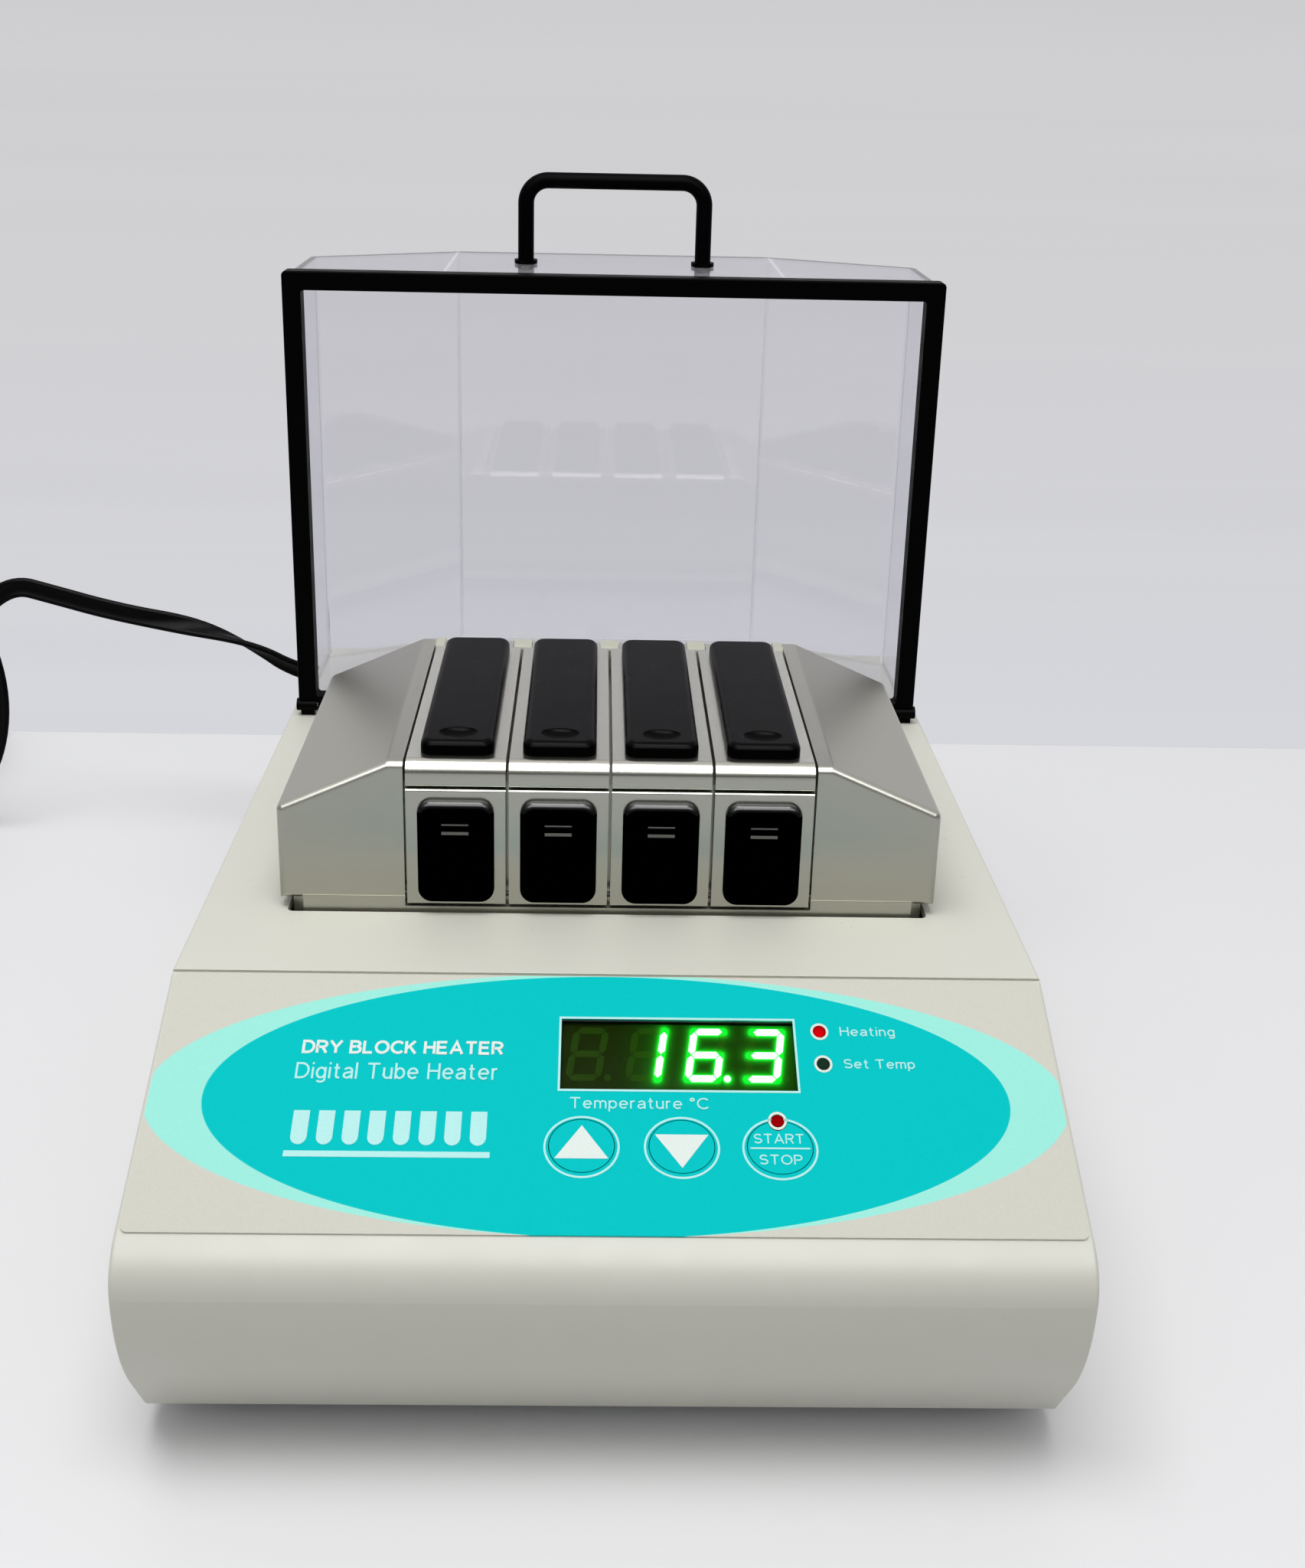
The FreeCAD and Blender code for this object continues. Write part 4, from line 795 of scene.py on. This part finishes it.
def display_face(lines, points, lift):
    """Fine sheet behind the segments with a glow value that falls off from the lit ones."""
    half_x, half_y = FACE_HALF
    columns, rows = FACE_CELLS

    def build(work):
        grid = []
        for row in range(rows + 1):
            y = -half_y + 2 * half_y * row / rows
            grid.append([work.verts.new((-half_x + 2 * half_x * column / columns, y, 0))
                         for column in range(columns + 1)])
        for row in range(rows):
            for column in range(columns):
                work.faces.new((grid[row][column], grid[row][column + 1],
                                grid[row + 1][column + 1], grid[row + 1][column]))

    mesh = mesh_from("display_face", build)
    glow = mesh.attributes.new("glow", "FLOAT", "POINT")
    for index, vertex in enumerate(mesh.vertices):
        spot = vertex.co.xy
        reaches = [distance_to(spot, *line) for line in lines] + [(spot - point).length for point in points]
        outside = max(0.0, min(reaches) - SEGMENT_WIDTH / 2)
        core = GLOW_CORE * math.exp(-outside / GLOW_CORE_REACH)
        halo = GLOW_HALO * math.exp(-outside / GLOW_HALO_REACH)
        glow.data[index].value = core + halo
    mesh.transform(panel_matrix(DISPLAY_X, DISPLAY_V, lift))
    add_piece("display_face", mesh, "base", glow_sheet())


# ---- lamps --------------------------------------------------------------
def lathe(profile, count=40):
    """Builder for a round piece from (radius, height) pairs that start or end on the axis."""
    def build(work):
        rings = []
        for radius, height in profile:
            if radius == 0:
                rings.append([work.verts.new((0, 0, height))])
            else:
                rings.append([work.verts.new((radius * math.cos(2 * math.pi * i / count),
                                              radius * math.sin(2 * math.pi * i / count), height))
                              for i in range(count)])
        for below, above in zip(rings, rings[1:]):
            for i in range(count):
                j = (i + 1) % count
                if len(below) == 1:
                    work.faces.new((below[0], above[j], above[i]))
                elif len(above) == 1:
                    work.faces.new((below[i], below[j], above[0]))
                else:
                    work.faces.new((below[i], below[j], above[j], above[i]))
    return build


def indicator_lamps():
    """Three separately coloured lenses, each in a printed white ring."""
    white = print_ink("print_ring", srgb(216, 226, 214))
    finishes = {
        "heating_lamp": lamp_lens("lamp_red", srgb(96, 2, 8), (1.0, 0.001, 0.003, 1), 0.62),
        "set_lamp": lamp_lens("lamp_green", srgb(24, 46, 34), (0.02, 0.05, 0.03, 1), 0.15),
        "start_lamp": lamp_lens("lamp_red_deep", srgb(84, 2, 6), (0.9, 0.001, 0.003, 1), 0.30),
    }
    turns = [math.pi / 2 * i / LENS_STEPS for i in range(1, LENS_STEPS)]
    dome = [(0, -LENS_DEPTH), (LAMP_RADIUS, -LENS_DEPTH), (LAMP_RADIUS, LENS_EDGE)]
    dome += [(LAMP_RADIUS * math.cos(turn), LENS_EDGE + LENS_RISE * math.sin(turn)) for turn in turns]
    dome += [(0, LENS_EDGE + LENS_RISE)]
    inner = LAMP_RADIUS + LAMP_RING_GAP
    for name, (x, v) in LAMPS.items():
        mesh = mesh_from(name, lathe(dome), panel_matrix(x, v), math.radians(40))
        piece = add_piece(name, mesh, "base", finishes[name])
        if name == "heating_lamp":
            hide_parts("indicator_leds")
        printed(name + "_ring", oval(LAMP_RING, LAMP_RING, 48), x, v, "base", white, oval(inner, inner, 48))


# ---- latch marks --------------------------------------------------------
def latch_ridge_highlights():
    """Two pale lines let into each latch tile: painted highlights where its raised ridges catch the light."""
    # Painted highlight: this grey stands in for light caught by the raised ridges.
    paint = print_ink("mark_grey", srgb(98, 98, 92))
    for number in LATCH_NUMBERS:
        low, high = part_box(f"latch_tile_{number}")
        middle_x = (low.x + high.x) / 2
        for line, (drop, tall) in enumerate(LATCH_MARKS, 1):
            spot = (middle_x, low.y + MARK_INSET, high.z - drop * MM)
            place = Matrix.Translation(spot) @ Matrix.Rotation(math.pi / 2, 4, "X") @ Matrix.Scale(MM, 4)
            name = f"latch_ridge_highlight_{number}_{line}"
            mesh = mesh_from(name, plate(rectangle(MARK_WIDTH, tall), MARK_THICKNESS), place)
            add_piece(name, mesh, f"latch_{number}", paint)


# ---- mains cord ---------------------------------------------------------
# Corners of the route in millimetres from the connector's mouth: up in an arch, then down to the bench.
CORD_BENDS = (
    (0, 29, 0), (-32, 24.8, 8), (-57, 1.8, 24.5), (-71, -1.2, 35), (-90, -3.2, 43), (-122, -3.2, 49),
    (-145, -4.2, 56), (-158, -5.2, 60), (-173, -4.2, 48), (-166, -3.2, 14), (-174, -3.2, -18),
    (-192, -1.2, -31),
)
CONNECTOR_GRIP = 11 * MM
PLUG_GRIP = 2 * MM
CORD_LOBE = 1.15
CORD_LOBE_SPACING = 2.5
CORD_LOBE_STEPS = 12
CORD_EDGE_ON_X = -143.0
CORD_TWIST_LENGTH = 34.0
CORD_TWIST = math.radians(80)


def cord_route():
    """Corner points of the cord from the connector to the plug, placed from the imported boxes."""
    connector_low, connector_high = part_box("cord_connector")
    plug_low, plug_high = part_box("mains_plug")
    start = Vector(((connector_low.x + connector_high.x) / 2, connector_high.y - CONNECTOR_GRIP,
                    (connector_low.z + connector_high.z) / 2))
    plug_x, plug_z = (plug_low.x + plug_high.x) / 2, (plug_low.z + plug_high.z) / 2
    bends = [start + Vector(bend) * MM for bend in CORD_BENDS]
    return [start] + bends + [Vector((plug_x, bends[-1].y + PLUG_GRIP, plug_z)),
                              Vector((plug_x, plug_low.y + PLUG_GRIP, plug_z))]


def smooth_route(corners, rounds=3):
    """Points of a route whose corners are cut off again and again."""
    points = corners
    for _ in range(rounds):
        softer = [points[0]]
        for a, b in zip(points, points[1:]):
            softer += [a.lerp(b, 0.25), a.lerp(b, 0.75)]
        points = softer + [points[-1]]
    return points


def power_cord():
    """Flat twin cord: two round cores joined by a thin web, turned about the route."""
    points = smooth_route(cord_route())
    outline = []
    for side, first in ((1, -0.75), (-1, 0.25)):
        for i in range(CORD_LOBE_STEPS + 1):
            angle = math.pi * (first + 1.5 * i / CORD_LOBE_STEPS)
            across = side * CORD_LOBE_SPACING + CORD_LOBE * math.cos(angle)
            outline.append((across, CORD_LOBE * math.sin(angle)))
    total = len(points) - 1

    def build(work):
        normal = Vector((0, 0, 1))
        rings = []
        for index, point in enumerate(points):
            before, after = points[max(0, index - 1)], points[min(total, index + 1)]
            along = (after - before).normalized()
            normal = (normal - along * normal.dot(along)).normalized()
            side = along.cross(normal)
            turn = max(-1.0, min(1.0, (CORD_EDGE_ON_X - point.x / MM) / CORD_TWIST_LENGTH))
            twist = CORD_TWIST * math.sin(turn * math.pi / 2)
            across = side * math.cos(twist) + normal * math.sin(twist)
            up = normal * math.cos(twist) - side * math.sin(twist)
            rings.append([work.verts.new(point + (across * x + up * y) * MM) for x, y in outline])
        for below, above in zip(rings, rings[1:]):
            for i in range(len(outline)):
                j = (i + 1) % len(outline)
                work.faces.new((below[i], below[j], above[j], above[i]))
        work.faces.new(list(reversed(rings[0])))
        work.faces.new(rings[-1])

    mesh = mesh_from("twin_cord", build, smooth_angle=math.radians(60))
    piece = add_piece("twin_cord", mesh, "base", MATERIALS["cord_black"])
    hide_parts("power_cord")


# ---- stage --------------------------------------------------------------
FLOOR_REACH = 3.0
BACKDROP_HEIGHT = 2.0
BACKDROP_GAP = 6 * MM
BACKDROP_Y = CAD_BOUNDS[1].y + BACKDROP_GAP


def stage_sheet(name, corners, material):
    """One flat sheet of the stage, which is not part of the object."""
    mesh = bpy.data.meshes.new(name)
    mesh.from_pydata([tuple(corner) for corner in corners], [], [(0, 1, 2, 3)])
    sheet = bpy.data.objects.new(name, mesh)
    bpy.context.scene.collection.objects.link(sheet)
    mesh.materials.append(material)
    return sheet


def floor_finish():
    """Pale matt floor, a little darker in the light that it throws back."""
    look = Look("floor_sheet")
    cloud = look.noise(3.0, 4.0)
    seen = look.blend(cloud, srgb(226, 226, 227), srgb(234, 234, 235))
    bounced = look.node("LightPath").outputs["Is Diffuse Ray"]
    look.set(Base_Color=look.blend(bounced, seen, srgb(204, 204, 205)), Roughness=0.55)
    look.set(Normal=look.bump(look.noise(60.0, 3.0), 0.2 * MM, 0.2))
    return look.material


def backdrop_finish():
    """Pale sheet with faint level ripples, clear when seen from behind."""
    look = Look("backdrop_sheet")
    ripple = look.noise(6.0, 4.0, (0.15, 1, 9))
    height = look.remap(look.along(Vector((0, 0, 1)), Vector()), 0.0, 420.0, 0.0, 1.0)
    low_tone = look.blend(ripple, srgb(210, 211, 216), srgb(216, 217, 222))
    high_tone = look.blend(ripple, srgb(201, 199, 200), srgb(208, 206, 207))
    tone = look.blend(height, low_tone, high_tone)
    face = look.node("Emission", {"Color": tone, "Strength": 1.0}).outputs[0]
    clear = look.node("BsdfTransparent").outputs[0]
    behind = look.node("NewGeometry").outputs["Backfacing"]
    shader = look.node("MixShader", {0: behind, 1: face, 2: clear}).outputs[0]
    look.put(look.output.inputs["Surface"], shader)
    return look.material


def floor_and_backdrop():
    reach, y = FLOOR_REACH, BACKDROP_Y
    stage_sheet("floor", [(-reach, -reach, 0), (reach, -reach, 0), (reach, reach, 0), (-reach, reach, 0)],
                floor_finish())
    top = BACKDROP_HEIGHT
    wall = stage_sheet("backdrop", [(-reach, y, 0), (reach, y, 0), (reach, y, top), (-reach, y, top)],
                       backdrop_finish())
    wall.visible_shadow = False
    wall.visible_diffuse = False


def area_light(name, place, target, size, power):
    data = bpy.data.lights.new(name, "AREA")
    data.shape = "RECTANGLE"
    data.size, data.size_y = size
    data.energy = power
    lamp = bpy.data.objects.new(name, data)
    lamp.location = place
    lamp.rotation_mode = "QUATERNION"
    lamp.rotation_quaternion = (Vector(target) - Vector(place)).to_track_quat("-Z", "Y")
    bpy.context.scene.collection.objects.link(lamp)
    return lamp


def soft_light():
    """Wide light from above, a strip seen only in reflections, and a room darker towards its floor."""
    world = bpy.data.worlds.new("room")
    bpy.context.scene.world = world
    world.use_nodes = True
    tree = world.node_tree
    back = tree.nodes["Background"]
    coords = tree.nodes.new("ShaderNodeTexCoord")
    split = tree.nodes.new("ShaderNodeSeparateXYZ")
    ramp = tree.nodes.new("ShaderNodeMapRange")
    tree.links.new(coords.outputs["Generated"], split.inputs[0])
    tree.links.new(split.outputs["Z"], ramp.inputs["Value"])
    ramp.interpolation_type = "SMOOTHSTEP"
    for key, value in (("From Min", 0.05), ("From Max", 0.75), ("To Min", 0.07), ("To Max", 0.64)):
        ramp.inputs[key].default_value = value
    tree.links.new(ramp.outputs["Result"], back.inputs["Strength"])
    back.inputs["Color"].default_value = (0.98, 0.98, 1.0, 1)
    area_light("overhead", place=(-0.12, -0.32, 1.55), target=(0, 0, 0), size=(1.1, 0.6), power=14.0)
    strip = area_light("edge_strip", place=(0, -1.1, 1.25), target=(0, 0, 0.1), size=(2.6, 0.65), power=30.0)
    strip.visible_diffuse = False


CAMERA_PLACE = Vector((-4.92, -403.63, 295.10)) * MM
CAMERA_YAW = math.radians(1.1135)
CAMERA_PITCH = math.radians(17.333)
CAMERA_ROLL = math.radians(1.2415)
CAMERA_LENS = 36.914
CAMERA_SHIFT = (0.01816, -0.15107)


def camera():
    """Camera turned by yaw, then pitch, then roll about its own line of sight."""
    level = math.cos(CAMERA_PITCH)
    ahead = Vector((math.sin(CAMERA_YAW) * level, math.cos(CAMERA_YAW) * level, -math.sin(CAMERA_PITCH)))
    right = ahead.cross(Vector((0, 0, 1))).normalized()
    up = right.cross(ahead)
    turned_right = right * math.cos(CAMERA_ROLL) + up * math.sin(CAMERA_ROLL)
    turned_up = up * math.cos(CAMERA_ROLL) - right * math.sin(CAMERA_ROLL)
    data = bpy.data.cameras.new("camera")
    data.sensor_fit = "AUTO"
    data.sensor_width = 36.0
    data.lens = CAMERA_LENS
    data.shift_x, data.shift_y = CAMERA_SHIFT
    data.clip_start = 0.02
    eye = bpy.data.objects.new("camera", data)
    turn = Matrix((turned_right, turned_up, -ahead)).transposed().to_4x4()
    eye.matrix_world = Matrix.Translation(CAMERA_PLACE) @ turn
    bpy.context.scene.collection.objects.link(eye)
    bpy.context.scene.camera = eye


MATERIALS = slot_materials()
NODE_FINISHES = {f"latch_tile_{number}": MATERIALS["tile_black"] for number in LATCH_NUMBERS}
# Painted shade: the pivot rods are made near-black so the gaps between the plates look shaded.
NODE_FINISHES["latch_pivot_rod"] = MATERIALS["gap_shade_steel"]
for name, node in frame["nodes"].items():
    for material_slot in node.material_slots:
        slot_name = material_slot.material.name.split(".")[0]
        material_slot.material = NODE_FINISHES.get(name, MATERIALS[slot_name])

panel_printing()
display_digits()
indicator_lamps()
latch_ridge_highlights()
power_cord()
floor_and_backdrop()
soft_light()
camera()
bpy.context.scene.view_settings.view_transform = "Standard"
